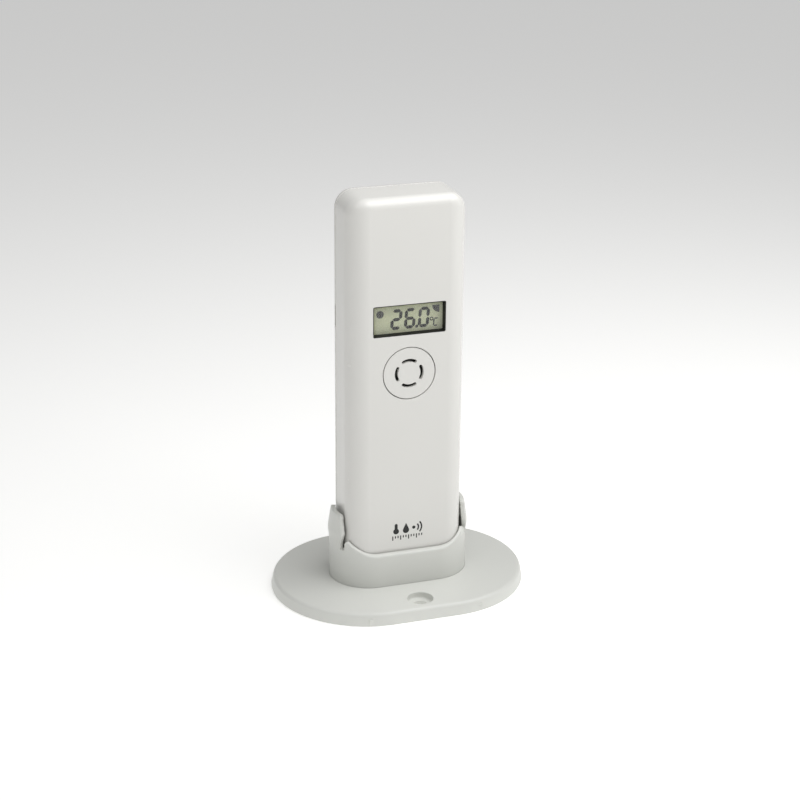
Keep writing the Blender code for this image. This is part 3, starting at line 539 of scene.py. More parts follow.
LIP = 0.3 * MM  # rolled edge of the counterbore
bores = []
for y in (-SCREW_HOLE_Y, SCREW_HOLE_Y):
    lip = [
        (COUNTERBORE_RADIUS + LIP * (1 - math.sin(math.radians(a))),
         PLATE_TOP - LIP * (1 - math.cos(math.radians(a))))
        for a in range(10, 91, 16)
    ]
    bores.append(turned(
        "bore",
        [(0, 6 * MM), (COUNTERBORE_RADIUS + 2 * LIP, 6 * MM),
         (COUNTERBORE_RADIUS + LIP * 1.1, PLATE_TOP + 0.05 * MM)] + lip
        + [(COUNTERBORE_RADIUS - 0.05 * MM, PLATE_TOP - 1.7 * MM),
           (COUNTERBORE_RADIUS - 0.3 * MM, PLATE_TOP - 2.0 * MM),
           (BORE_RADIUS + 0.15 * MM, PLATE_TOP - 2.0 * MM),
           (BORE_RADIUS, PLATE_TOP - 2.15 * MM), (BORE_RADIUS, -1 * MM), (0, -1 * MM)],
        (0, y, 0),
    ))
combine(plate, "DIFFERENCE", *bores)
finish(plate, STAND_WHITE, "stand", "stand_abs", "stand_base")


# ------------------------------------------------------------ spring clips
# Two tongues of the same moulding, one at each round end of the socket. Each bows outwards
# where it is broadest, leans in at its rounded tip, and has a catch on its inner face.

CLIP_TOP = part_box("left_clip")[1].z
CLIP_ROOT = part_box("left_clip")[0].z
CLIP_THICKNESS = 1.5 * MM
CLIP_FOOT = CLIP_ROOT - 2.6 * MM  # buried in the wall
HALF_WIDTHS = [
    (CLIP_FOOT, 6.0), (CLIP_ROOT + 0.8 * MM, 6.0), (18.4 * MM, 6.35), (19.8 * MM, 6.9),
    (21.2 * MM, 7.3), (22.8 * MM, 6.9), (24.3 * MM, 6.4), (25.6 * MM, 5.95),
]


BOW, BOW_HEIGHT = 0.4 * MM, 8 * MM  # outwards, just above the socket's wall
LEAN, LEAN_FROM = 0.7 * MM, 22 * MM  # inwards, from there to the tip
TIP_HEIGHT, TIP_INSET = 1.5 * MM, 2.1 * MM  # the rounding of the tip
CATCH_HALF_WIDTH = 2.2 * MM


def eased(knots, z):
    """A value between knots, eased so that its line bends softly."""
    for (low, start), (high, end) in zip(knots, knots[1:]):
        if z <= high:
            share = max((z - low) / (high - low), 0.0)
            share = share * share * (3 - 2 * share) * 0.5 + share * 0.5
            return start + (end - start) * share
    return knots[-1][1]


def clip_ring(z, half, thick, side):
    """One level of a clip: a rounded bar bent round the socket's end."""
    bow = BOW * math.sin(math.pi * min(max((z - CLIP_ROOT) / BOW_HEIGHT, 0.0), 1.0)) ** 2
    lean = LEAN * max((z - LEAN_FROM) / (CLIP_TOP - LEAN_FROM), 0.0) ** 2
    buried = 0.01 * MM if z < CLIP_ROOT else 0.0
    middle = SOCKET_RADIUS - CLIP_THICKNESS / 2 + bow - lean - buried
    corner = min(0.42 * MM, thick / 2 - 0.02 * MM)
    bar_section = rounded_rect(2 * half, thick, corner, steps=5)
    ring = []
    for near, far in zip(bar_section, bar_section[1:] + bar_section[:1]):
        parts = 16 if abs(far[0] - near[0]) > half else 1
        for part in range(parts):
            across = near[0] + (far[0] - near[0]) * part / parts
            angle = across / SOCKET_RADIUS
            radius = middle - near[1]
            ring.append((side * (ROUND_X + radius * math.cos(angle)), radius * math.sin(angle), z))
    return ring


def clip_levels():
    """Heights up the clip with its half-width and thickness, closer together at the tip."""
    rows = []
    body_top = CLIP_TOP - TIP_HEIGHT
    for step in range(33):
        z = CLIP_FOOT + (body_top - CLIP_FOOT) * step / 32
        rows.append((z, eased(HALF_WIDTHS, z) * MM, CLIP_THICKNESS))
    tip_half = rows[-1][1]
    for turn in range(10, 91, 8):
        a = math.radians(turn)
        z = body_top + (CLIP_TOP - body_top) * math.sin(a)
        half = tip_half - TIP_INSET * (1 - math.cos(a))
        near_top = max(0.0, (z - (CLIP_TOP - 0.5 * MM)) / (0.5 * MM))
        thick = CLIP_THICKNESS * (0.45 + 0.55 * math.sqrt(max(1 - near_top ** 2, 0.0)))
        rows.append((z, half, thick))
    return rows


for side, name in ((-1, "left_clip"), (1, "right_clip")):
    catch = [(19.45, 21.9), (20.0, 20.9), (21.5, 19.3), (21.5, 23.6), (20.0, 22.9)]
    ridge = [(side * x * MM, z * MM) for x, z in catch]
    clip = solid(
        name + "_tongue", [clip_ring(*row, side) for row in clip_levels()],
        [upright(ridge, -CATCH_HALF_WIDTH), upright(ridge, CATCH_HALF_WIDTH)],
    )
    finish(clip, STAND_WHITE, name, "stand_abs", name)


# ------------------------------------------------------------ front housing
# The front shell of the case, injection moulded in glossy white ABS with 1.8 mm walls. Its
# upright edges are rounded more than its top and bottom, and its corners most of all.

# The same plastic from a smoother mould: a warmer white with a tighter, brighter sheen.
CASE_WHITE = moulded_plastic("case_white_abs", "#E3E2DE", "#E0DFDB", 0.26, relief=0.012)

case_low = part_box("front_housing")[0]
case_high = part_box("rear_cover")[1]
CASE_WIDTH = case_high.x - case_low.x
CASE_HEIGHT = case_high.z - case_low.z
CASE_MIDDLE = (case_high.z + case_low.z) / 2
FRONT, REAR = case_low.y, case_high.y
WALL = 1.8 * MM
CORNER_RADIUS = 6.0 * MM
FRONT_ROUNDS = (6.5 * MM, 3.2 * MM)  # of the upright edges, and of the ends
PARTING_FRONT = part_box("front_housing")[1].y
PARTING_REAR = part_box("rear_cover")[0].y


def inset_at(depth, radius):
    """How far a rounded edge stands back at a depth below the face."""
    if depth >= radius:
        return 0.0
    return radius - math.sqrt(radius ** 2 - (radius - depth) ** 2)


def shell_ring(y, side_in, end_in, corner, inset=0.0):
    width = CASE_WIDTH - 2 * (side_in + inset)
    height = CASE_HEIGHT - 2 * (end_in + inset)
    return upright(rounded_rect(width, height, corner, (0.0, CASE_MIDDLE), 22), y)


def shell_face(face_y, inward, side_round, end_round, inset=0.0):
    """Rings from a flat face down over its rounded edges to where the wall runs straight."""
    rings = []
    steps = 18
    for step in range(steps + 1):
        depth = side_round * (1 - math.cos(math.radians(90 * step / steps)))
        side_in = inset_at(depth, side_round)
        end_in = inset_at(depth, end_round)
        corner = CORNER_RADIUS - inset - 0.85 * max(side_in, end_in)
        rings.append(shell_ring(face_y + inward * depth, side_in, end_in, corner, inset))
    return rings


def case_shell(name, face_y, rim_y, side_round, end_round):
    """Half a case as one closed skin: outside, rim and inside."""
    inward = 1.0 if rim_y > face_y else -1.0
    edge = 0.12 * MM
    rings = shell_face(face_y, inward, side_round, end_round)
    for turn in (0, 30, 60, 90):
        a = math.radians(turn)
        y = rim_y - inward * edge * (1 - math.sin(a))
        rings.append(shell_ring(y, 0.0, 0.0, CORNER_RADIUS, edge * (1 - math.cos(a))))
    rings.append(shell_ring(rim_y, 0.0, 0.0, CORNER_RADIUS - WALL, WALL))
    inner_side, inner_end = side_round - WALL, max(end_round - WALL, 0.6 * MM)
    rings += reversed(shell_face(face_y + inward * WALL, inward, inner_side, inner_end, WALL))
    return solid(name, rings)


def flared(outline_of, face_y, through, lip):
    """A cutter whose mouth flares, so that it leaves a rolled edge of radius lip."""
    rings = [
        upright(outline_of(2 * lip), face_y - 1.0 * MM),
        upright(outline_of(1.05 * lip), face_y - 0.03 * MM),
    ]
    for turn in (12, 32, 52, 72, 90):
        a = math.radians(turn)
        rings.append(upright(outline_of(lip * (1 - math.sin(a))), face_y + lip * (1 - math.cos(a))))
    rings.append(upright(outline_of(0.0), face_y + through))
    return solid("cutter", rings)


display_low, display_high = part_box("display_gasket")
GAP = 0.3 * MM
OPENING_WIDTH = display_high.x - display_low.x + 2 * GAP
OPENING_HEIGHT = display_high.z - display_low.z + 2 * GAP
DISPLAY_Z = (display_high.z + display_low.z) / 2
vent_low, vent_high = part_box("vent_cap")
VENT_Z = (vent_low.z + vent_high.z) / 2
VENT_HOLE = 8.57 * MM


def display_outline(grown):
    return rounded_rect(
        OPENING_WIDTH + 2 * grown, OPENING_HEIGHT + 2 * grown, 0.5 * MM + grown,
        (0.0, DISPLAY_Z), 6,
    )


def vent_outline(grown):
    return arc(0.0, VENT_Z, VENT_HOLE + grown, 0, 360, 96)[:-1]


housing = case_shell("front_shell", FRONT, PARTING_FRONT, *FRONT_ROUNDS)
CASE_SCREWS = [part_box("case_screw_%d" % number) for number in (1, 2, 3)]
screw_places = [((low.x + high.x) / 2, (low.z + high.z) / 2) for low, high in CASE_SCREWS]
BOARD_SCREWS = [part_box("board_screw_%d" % number) for number in (1, 2, 3, 4)]
board_places = [((low.x + high.x) / 2, (low.z + high.z) / 2) for low, high in BOARD_SCREWS]
BOARD_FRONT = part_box("circuit_board")[0].y


def post(name, place, outer, bore, low, high):
    """A hollow moulded post along Y at an (X, Z) place, open towards the rear."""
    length = high - low
    bore_floor = length - 6 * MM if length > 7 * MM else 1.2 * MM
    profile = [
        (0, bore_floor), (bore, bore_floor), (bore, length - 0.2 * MM), (bore + 0.2 * MM, length),
        (outer, length), (outer + 0.25 * MM, 0), (0, 0),
    ]
    return turned(name, profile, (place[0], low, place[1]), (0, 1, 0), 32)


POST_FOOT = FRONT + WALL - 0.4 * MM  # sunk in the wall
posts = [
    post("case_post", place, 3.0 * MM, 1.3 * MM, POST_FOOT, PARTING_FRONT - 0.2 * MM)
    for place in screw_places
]
posts += [
    post("board_post", place, 2.3 * MM, 1.0 * MM, POST_FOOT, BOARD_FRONT - GAP)
    for place in board_places
]
combine(housing, "UNION", *posts)
combine(
    housing, "DIFFERENCE",
    flared(display_outline, FRONT, WALL + 1 * MM, 0.12 * MM),
    flared(vent_outline, FRONT, WALL + 1 * MM, 0.06 * MM),
)
finish(housing, CASE_WHITE, "sensor", "white_abs", "front_housing")


# ------------------------------------------------------------ display sleeve and window
# A black rubber sleeve lines the opening in the front shell and keeps out light and dust.
# A clear acrylic pane is held in it, half a millimetre below the face.

def grained(name, colour, shade, roughness, grain, relief=0.1, **sockets):
    """A material whose two close colours and fine relief follow one noise, drawn coarse."""
    made = new_material(name, colour, roughness, **sockets)
    speckle = noise(made, grain, 3.0).outputs["Fac"]
    into_shader(
        made, Base_Color=blend(made, speckle, colour, shade),
        Normal=raised(made, relief, grain, speckle),
    )
    return made


# Moulded rubber: a flat black that shows only as a thin line round the glass.
BLACK_SLEEVE = new_material("black_rubber", "#101110", 0.6)
into_shader(BLACK_SLEEVE, Normal=raised(
    BLACK_SLEEVE, 0.1, 0.1 * MM, noise(BLACK_SLEEVE, 0.4 * MM).outputs["Fac"],
))

SLEEVE_CLEARANCE, SLEEVE_WALL = 0.04 * MM, 0.22 * MM
sleeve_back = display_high.y


def tube(name, outer, inner, low, high):
    """A closed tube between two outlines seen from the front."""
    return solid(
        name,
        [upright(outer, low), upright(outer, high), upright(inner, high), upright(inner, low)],
        closed=True,
    )


sleeve = tube(
    "display_sleeve", display_outline(-SLEEVE_CLEARANCE),
    display_outline(-SLEEVE_CLEARANCE - SLEEVE_WALL), FRONT + 0.12 * MM, sleeve_back,
)
finish(sleeve, BLACK_SLEEVE, "sensor", "black_rubber", "display_gasket")

# Cast acrylic, polished: nearly all of it is seen through, with a faint haze of wiping.
CLEAR_PANE = new_material("cast_acrylic_pane", "#F6F8F4", 0.03, IOR=1.49, Alpha=0.06)
wipe = noise(CLEAR_PANE, 6 * MM).outputs["Fac"]
into_shader(CLEAR_PANE, Roughness=spread(CLEAR_PANE, wipe, 0.02, 0.06))
pane_low, pane_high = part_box("display_window")
pane_outline = rounded_rect(
    pane_high.x - pane_low.x + 0.4 * MM, pane_high.z - pane_low.z + 0.4 * MM, 0.3 * MM,
    (0.0, DISPLAY_Z), 4,
)
pane = solid("window_pane", [upright(pane_outline, pane_low.y), upright(pane_outline, pane_high.y)])
finish(pane, CLEAR_PANE, "sensor", "clear_acrylic", "display_window")


# ------------------------------------------------------------ liquid crystal display
# A reflective display: two glass sheets, grey-green where it is clear. The driven segments
# are thin dark films. It shows 26.0 degrees with a signal fan and a round mark.

# Polarised glass over a dull foil: an even grey green, faintly clouded and grained.
LCD_GLASS = new_material("display_glass", "#C9CDA9", 0.22, IOR=1.5)
cloud = noise(LCD_GLASS, 4 * MM).outputs["Fac"]
foil_grain = noise(LCD_GLASS, 0.25 * MM).outputs["Color"]
into_shader(LCD_GLASS, Base_Color=blend(
    LCD_GLASS, 0.25, blend(LCD_GLASS, cloud, "#C4C9A2", "#CDD1AF"), foil_grain,
    blend_type="SOFT_LIGHT",
))

# A driven liquid crystal segment: nearly black, with no gloss of its own.
LCD_INK = new_material("driven_segment", "#0B0C08", 0.5)
into_shader(LCD_INK, Base_Color=blend(
    LCD_INK, noise(LCD_INK, 0.5 * MM).outputs["Fac"], "#090A07", "#11120D",
))

lcd_low, lcd_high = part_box("lcd_panel")
FILM = 0.03 * MM
FILM_Y = lcd_low.y - 0.01 * MM


def film(shape, outline, corner=0.0, film_y=FILM_Y):
    """A thin flat figure seen from the front, its corners rounded if asked."""
    verts = [shape.verts.new(point) for point in upright(outline, film_y)]
    edges = [shape.edges.new(pair) for pair in zip(verts, verts[1:] + verts[:1])]
    face = bmesh.ops.contextual_create(shape, geom=edges)["faces"]
    if corner:
        face = bmesh.ops.bevel(
            shape, geom=verts, offset=corner, affect="VERTICES", segments=3, profile=0.5,
            material=-1,
        )["faces"] or face
        face = [item for item in shape.faces if item.is_valid and item.tag is False
                and all(abs(v.co.y - film_y) < 1e-7 for v in item.verts)]
    grown = bmesh.ops.extrude_face_region(shape, geom=face)["geom"]
    moved = [item for item in grown if isinstance(item, bmesh.types.BMVert)]
    bmesh.ops.translate(shape, vec=(0, -FILM, 0), verts=moved)
    for item in shape.faces:
        item.tag = True


STROKE = 1.02 * MM
DIGIT_HALF = 1.3 * MM  # half the distance between stroke centres
DIGIT_RISE = 2.75 * MM  # from the middle stroke to the top one
SEGMENT_GAP = 0.06 * MM
SLANT = 0.07
LIT = {"2": "abged", "6": "afgedc", "0": "abcdef"}


def bar(start, end, stroke):
    """A pointed bar between two points, along X or along Z."""
    (u0, v0), (u1, v1) = start, end
    length = math.dist(start, end)
    du, dv = (u1 - u0) / length, (v1 - v0) / length
    half = stroke / 2
    points = []
    for along, across in (
        (SEGMENT_GAP, 0), (SEGMENT_GAP + half, -half), (length - SEGMENT_GAP - half, -half),
        (length - SEGMENT_GAP, 0), (length - SEGMENT_GAP - half, half), (SEGMENT_GAP + half, half),
    ):
        points.append((u0 + du * along - dv * across, v0 + dv * along + du * across))
    return points


def digit_bars(figure):
    """The lit bars of one seven-segment figure about its middle."""
    w, h = DIGIT_HALF, DIGIT_RISE
    runs = {
        "a": ((-w, h), (w, h)), "b": ((w, h), (w, 0)), "c": ((w, 0), (w, -h)),
        "d": ((-w, -h), (w, -h)), "e": ((-w, 0), (-w, -h)), "f": ((-w, h), (-w, 0)),
        "g": ((-w, 0), (w, 0)),
    }
    return [runs[letter] for letter in LIT[figure]]


ink = bmesh.new()
READING_Z = DISPLAY_Z - 0.55 * MM


def set_figure(points, centre_x, centre_z=READING_Z):
    """Moves a figure to its place and slants it."""
    return [(centre_x + u + SLANT * v, centre_z + v) for u, v in points]


for figure, centre_x in (("2", -3.4 * MM), ("6", 1.0 * MM), ("0", 5.45 * MM)):
    for start, end in digit_bars(figure):
        film(ink, set_figure(bar(start, end, STROKE), centre_x), 0.12 * MM)
point_outline = rounded_rect(0.95 * MM, 0.95 * MM, 0.3 * MM, steps=4)
film(ink, set_figure(point_outline, 3.2 * MM, READING_Z - DIGIT_RISE))
film(ink, arc(-8.65 * MM, DISPLAY_Z + 1.5 * MM, 1.2 * MM, 0, 360, 40)[:-1])
fan_corner = (10.45 * MM, DISPLAY_Z + 3.0 * MM)
film(ink, [fan_corner] + arc(*fan_corner, 2.35 * MM, 180, 270, 16))
segments = solid_from("lcd_segments", ink)

letter = bmesh.new()
LETTER_Z = DISPLAY_Z - 2.45 * MM
for start, end in (((-0.65, 1.15), (0.65, 1.15)), ((-0.65, 1.15), (-0.65, -1.15)),
                   ((-0.65, -1.15), (0.65, -1.15))):
    run = bar([value * MM for value in start], [value * MM for value in end], 0.42 * MM)
    film(letter, set_figure(run, 9.35 * MM, LETTER_Z))
unit_mark = solid_from("unit_mark", letter)
ring_outer, ring_inner = [
    arc(7.95 * MM, DISPLAY_Z - 1.35 * MM, radius * MM, 0, 360, 28)[:-1] for radius in (0.62, 0.3)
]
unit_ring = tube("unit_ring", ring_outer, ring_inner, FILM_Y - FILM, FILM_Y)
for lit in (segments, unit_mark, unit_ring):
    finish(lit, LCD_INK, "sensor", "lcd_glass")


def coat(material, slot, *names):
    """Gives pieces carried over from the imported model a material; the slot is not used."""
    for name in names:
        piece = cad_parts[name]
        piece.data.materials.clear()
        piece.data.materials.append(material)


coat(LCD_GLASS, "lcd_glass", "lcd_panel")


# ------------------------------------------------------------ air vent
# A round cap moulded in the case's white plastic, with four curved slots, snapped into the
# front shell from behind.

VENT_DISC = VENT_HOLE - GAP
cap_front, cap_back = vent_low.y, vent_high.y
FLANGE = (vent_high.x - vent_low.x) / 2
CAP_FACE = 1.2 * MM
cap_profile = [(0.0, 0.0)]
cap_profile += [
    (VENT_DISC - 0.1 * MM + 0.1 * MM * math.sin(math.radians(a)),
     0.1 * MM - 0.1 * MM * math.cos(math.radians(a)))
    for a in (0, 30, 60, 90)
]
cap_depth = cap_back - cap_front
cap_profile += [
    (VENT_DISC, cap_depth - 0.5 * MM), (FLANGE, cap_depth - 0.5 * MM), (FLANGE, cap_depth),
    (VENT_DISC - 1.2 * MM, cap_depth), (VENT_DISC - 1.2 * MM, CAP_FACE), (0.0, CAP_FACE),
]
cap = turned("vent_disc", cap_profile, (0, cap_front, VENT_Z), (0, 1, 0), 96)
SLOT_MIDDLE, SLOT_HALF, SLOT_SPAN = 4.15 * MM, 0.52 * MM, 27.0


def slot_outline(aim, grown):
    """A curved slot with round ends, centred on an angle in degrees."""
    half = SLOT_HALF + grown
    start, end = aim - SLOT_SPAN, aim + SLOT_SPAN
    outline = arc(0, VENT_Z, SLOT_MIDDLE + half, start, end, 16)
    outline += arc(
        SLOT_MIDDLE * math.cos(math.radians(end)),
        VENT_Z + SLOT_MIDDLE * math.sin(math.radians(end)), half, end, end + 180, 8,
    )[1:-1]
    outline += arc(0, VENT_Z, SLOT_MIDDLE - half, end, start, 16)
    outline += arc(
        SLOT_MIDDLE * math.cos(math.radians(start)),
        VENT_Z + SLOT_MIDDLE * math.sin(math.radians(start)), half, start + 180, start + 360, 8,
    )[1:-1]
    return outline


slot_cutters = [
    flared(functools.partial(slot_outline, aim), cap_front, CAP_FACE + 0.2 * MM, 0.08 * MM)
    for aim in (0, 90, 180, 270)
]
combine(cap, "DIFFERENCE", *slot_cutters)
finish(cap, CASE_WHITE, "sensor", "white_abs", "vent_cap")


# ------------------------------------------------------------ vent foam and humidity sensor
# Black open-cell foam lies behind the slots and keeps splashes and insects out. The sensor
# stands behind it on the board, in a small white plastic cage.

# Open-cell foam: a dead black with a coarse broken surface, in the bottom of the slots.
BLACK_FOAM = grained("open_cell_foam", "#080808", "#141413", 0.95, 0.5 * MM, 0.5)
coat(BLACK_FOAM, "membrane", "vent_membrane")
coat(CASE_WHITE, "white_abs", "humidity_sensor")


# ------------------------------------------------------------ printed pictogram
# A generic sign, pad printed in black ink low on the front shell: a thermometer, a drop and
# radio waves for what is measured and sent, over a short scale.

# Pad-printed ink: a solid black with a little less gloss than the plastic under it.
PRINT_INK = grained("black_pad_print", "#1A1A1A", "#222221", 0.5, 0.3 * MM, 0.05)
PRINT_Y = FRONT + 0.008 * MM
PRINT_Z = 22.6 * MM
printed = bmesh.new()
THERMOMETER_X, BULB, STEM = -3.9 * MM, 0.95 * MM, 0.5 * MM
join_angle = math.degrees(math.acos(STEM / BULB))
bulb_z, stem_top = PRINT_Z - 0.75 * MM, PRINT_Z + 1.4 * MM
DROP_X, DROP_RADIUS = -0.6 * MM, 1.05 * MM
drop_z = PRINT_Z - 0.65 * MM
WAVES = (2.0 * MM, PRINT_Z)
WAVE_STROKE = 0.5 * MM
SCALE_TOP, TICK_PITCH = 20.3 * MM, 0.88 * MM
sign = [
    arc(THERMOMETER_X, bulb_z, BULB, 180 - join_angle, 360 + join_angle, 24)
    + arc(THERMOMETER_X, stem_top, STEM, 0, 180, 10),
    arc(DROP_X, drop_z, DROP_RADIUS, 150, 390, 24) + [(DROP_X, drop_z + 2.4 * DROP_RADIUS)],
    arc(*WAVES, 0.55 * MM, 0, 360, 20)[:-1],
]
for radius in (1.3 * MM, 2.35 * MM):
    sign.append(arc(*WAVES, radius + WAVE_STROKE, -42, 42, 14) + arc(*WAVES, radius, 42, -42, 14))
for number in range(12):
    tick_x = -5.0 * MM + number * TICK_PITCH
    tall = 1.5 * MM if number % 3 == 0 else 0.85 * MM
    sign.append(rounded_rect(0.36 * MM, tall, 0.1 * MM, (tick_x, SCALE_TOP - tall / 2), 2))
for outline in sign:
    film(printed, outline, film_y=PRINT_Y)
finish(solid_from("printed_pictogram", printed), PRINT_INK, "sensor", "black_epoxy")


# ------------------------------------------------------------ display stack
# Behind the glass: a dull silver foil, two striped rubber connectors that press the glass on
# to the board, and the grey plastic frame that holds them together.

# A dull silver. Its brushing is drawn as an even grain, as it lies hidden behind the glass.
SILVER_FOIL = grained("brushed_foil", "#B9BCB2", "#A9ACA2", 0.38, 0.3 * MM, 0.15, Metallic=1.0)
coat(SILVER_FOIL, "reflector_foil", "lcd_reflector")

# Layered silicone: fine black and pink bands, drawn coarser than they are so that they show.
STRIPED_RUBBER = new_material("layered_silicone_strip", "#2A2A2C", 0.6)
layers = add_node(
    STRIPED_RUBBER, "ShaderNodeTexWave",
    [("Vector", own_place(STRIPED_RUBBER)), ("Scale", 1 / (3.1 * MM))],
    wave_type="BANDS", bands_direction="X",
)
into_shader(STRIPED_RUBBER, Base_Color=blend(
    STRIPED_RUBBER, layers.outputs["Fac"], "#232325", "#C9A7A4",
))
coat(STRIPED_RUBBER, "foam_rubber", "zebra_strip_lower", "zebra_strip_upper")

# Moulded grey ABS from a matt mould: an even mid grey with little sheen.
GREY_PLASTIC = moulded_plastic("grey_abs", "#A6A8A7", "#9EA09F", 0.5, relief=0.05)
coat(GREY_PLASTIC, "grey_abs", "lcd_frame")


# ------------------------------------------------------------ circuit board and parts
# A green fibreglass board, etched and tinned, with the controller under a blob of black
# epoxy, a radio board, a crystal, a capacitor and the switch under the send key.

# A fairly glossy green with paler lines for the copper under it, drawn coarse and regular.
GREEN_BOARD = new_material("solder_mask_on_fibreglass", "#1E5B35", 0.32, IOR=1.5)
weave = noise(GREEN_BOARD, 0.5 * MM).outputs["Color"]
tracks = add_node(
    GREEN_BOARD, "ShaderNodeTexBrick",
    [("Vector", own_place(GREEN_BOARD)), ("Scale", 1 / (9 * MM)), ("Mortar Size", 0.035),
     ("Color1", linear("#1C5531")), ("Color2", linear("#205D37")), ("Mortar", linear("#34794A"))],
)
into_shader(
    GREEN_BOARD,
    Base_Color=blend(
        GREEN_BOARD, 0.3, tracks.outputs["Color"], weave, blend_type="SOFT_LIGHT",
    ),
    Normal=raised(GREEN_BOARD, 0.15, 0.05 * MM, tracks.outputs["Fac"]),
)
coat(GREEN_BOARD, "circuit_board", "circuit_board", "radio_module")

# A slightly rough black, which also serves the capacitor and the body of the switch.
BLACK_EPOXY = grained("moulded_black_epoxy", "#171717", "#202020", 0.42, 0.4 * MM, 0.12, IOR=1.55)
coat(BLACK_EPOXY, "black_epoxy", "controller_chip", "capacitor", "tx_switch_base")
# Pressed and nickel-plated steel: a bright, slightly warm metal, faintly mottled.
PLATED_STEEL = grained(
    "nickel_plated_steel", "#C9C8C4", "#BDBCB8", 0.27, 0.6 * MM, 0.05, Metallic=1.0,
)
coat(PLATED_STEEL, "plated_steel", "crystal")
# Extruded PVC wire cover: a strong, slightly waxy colour.
YELLOW_COVER = grained("yellow_pvc_cover", "#C9A02B", "#BF9727", 0.45, 0.8 * MM, 0.1)
coat(YELLOW_COVER, "wire_cover", "antenna")


# ------------------------------------------------------------ battery bay
# A grey tray moulded to the two cells, with pressed nickel-plated contacts, a coil spring
# and two short soldered leads to the board.

coat(GREY_PLASTIC, "grey_abs", "battery_tray")
coat(
    PLATED_STEEL, "plated_steel",
    "positive_contact", "negative_contact", "link_contact", "contact_spring",
)
RED_COVER = grained("red_pvc_cover", "#A81D18", "#9C1A15", 0.45, 0.8 * MM, 0.1)
BLACK_COVER = grained("black_pvc_cover", "#161616", "#1D1D1D", 0.45, 0.8 * MM, 0.1)
coat(RED_COVER, "wire_cover", "red_lead")
coat(BLACK_COVER, "wire_cover", "black_lead")


# ------------------------------------------------------------ cells
# Two AA cells, drawn steel cans in a printed shrink film, set opposite ways up. The film is
# drawn over the whole can and only the nub is bare steel. Both are pale at the top.

# A smooth, fairly glossy print, dark blue below and pale grey above a level line.
CELL_FILM = new_material("printed_shrink_film", "#27406F", 0.3, IOR=1.5)
cell_height = add_node(
    CELL_FILM, "ShaderNodeSeparateXYZ", [("Vector", own_place(CELL_FILM))],
).outputs["Z"]
PALE_FROM = 52.0 * MM
pale_part = add_node(
    CELL_FILM, "ShaderNodeMath", [(0, cell_height), (1, PALE_FROM)], operation="GREATER_THAN",
).outputs[0]
into_shader(CELL_FILM, Base_Color=blend(
    CELL_FILM, 0.2, blend(CELL_FILM, pale_part, "#27406F", "#B9BDC2"),
    noise(CELL_FILM, 3 * MM).outputs["Color"], blend_type="SOFT_LIGHT",
))

for name, upwards in (("battery_left", 1), ("battery_right", -1)):
    cell_low, cell_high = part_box(name)
    length = cell_high.z - cell_low.z
    radius = (cell_high.x - cell_low.x) / 2
    foot_z = cell_low.z if upwards > 0 else cell_high.z
    place = ((cell_low.x + cell_high.x) / 2, (cell_low.y + cell_high.y) / 2, foot_z)
    nub = length - 1.3 * MM
    sleeve_profile = [
        (0.0, 0.05 * MM), (radius - 1.1 * MM, 0.05 * MM), (radius - 1.0 * MM, 0.0),
        (radius - 0.5 * MM, 0.0), (radius - 0.12 * MM, 0.12 * MM), (radius, 0.5 * MM),
        (radius, nub - 0.8 * MM), (radius - 0.2 * MM, nub - 0.3 * MM),
        (radius - 0.9 * MM, nub), (0.0, nub - 0.05 * MM),
    ]
    jacket = turned(name + "_jacket", sleeve_profile, place, (0, 0, upwards), 64)
    finish(jacket, CELL_FILM, "sensor", "cell_jacket", name)
    nub_profile = [
        (0.0, nub - 0.03 * MM), (3.6 * MM, nub - 0.03 * MM), (3.6 * MM, nub + 0.05 * MM),
        (2.75 * MM, nub + 0.1 * MM), (2.7 * MM, length - 0.35 * MM),
        (2.35 * MM, length), (0.0, length),
    ]
    terminal = turned(name + "_nub", nub_profile, place, (0, 0, upwards), 48)
    finish(terminal, PLATED_STEEL, "sensor", "plated_steel")


# ------------------------------------------------------------ send key
# The small key of the switch behind it, moulded in grey ABS with a domed end. It slides in
# the switch's bore and is reached through the open battery door.

key_low, key_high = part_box("tx_button")
KEY_RADIUS = (key_high.x - key_low.x) / 2
key_length = key_high.y - key_low.y
key_profile = [(0.0, 0.0), (KEY_RADIUS - 0.2 * MM, 0.0), (KEY_RADIUS, 0.2 * MM)]
key_profile += [
    (KEY_RADIUS - 0.35 * MM * (1 - math.cos(math.radians(a))),
     key_length - 0.5 * MM + 0.35 * MM * math.sin(math.radians(a)))
    for a in (0, 22, 45, 67, 90)
]
key_profile += [(0.6 * MM, key_length - 0.02 * MM), (0.0, key_length)]
key_place = ((key_low.x + key_high.x) / 2, key_low.y, (key_low.z + key_high.z) / 2)
send_key = turned("send_key", key_profile, key_place, (0, 1, 0), 40)
finish(send_key, GREY_PLASTIC, "tx_button", "grey_abs", "tx_button")


# ------------------------------------------------------------ case gasket
# A ring die-cut from dark closed-cell foam. It is pinched between the two shells along
# their seam and keeps water out.

# Closed-cell foam: dark grey, without any sheen, finely pitted.
FOAM_RING = grained("closed_cell_foam", "#262626", "#303030", 0.9, 0.4 * MM, 0.4)
coat(FOAM_RING, "foam_rubber", "case_gasket")


# ------------------------------------------------------------ rear cover
# The rear shell, of the same glossy white ABS. Three deep cups take the case screws, and a
# ledge inside the battery opening carries the door.

INSIDE_REAR = REAR - WALL
door_low, door_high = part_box("battery_door")
cell_y = (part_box("battery_left")[0].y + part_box("battery_left")[1].y) / 2


def door_outline(grown):
    """The door seen from behind, grown by an amount."""
    return rounded_rect(
        door_high.x - door_low.x + 2 * grown, door_high.z - door_low.z + 2 * grown,
        2.5 * MM + grown, (0.0, (door_high.z + door_low.z) / 2), 8,
    )


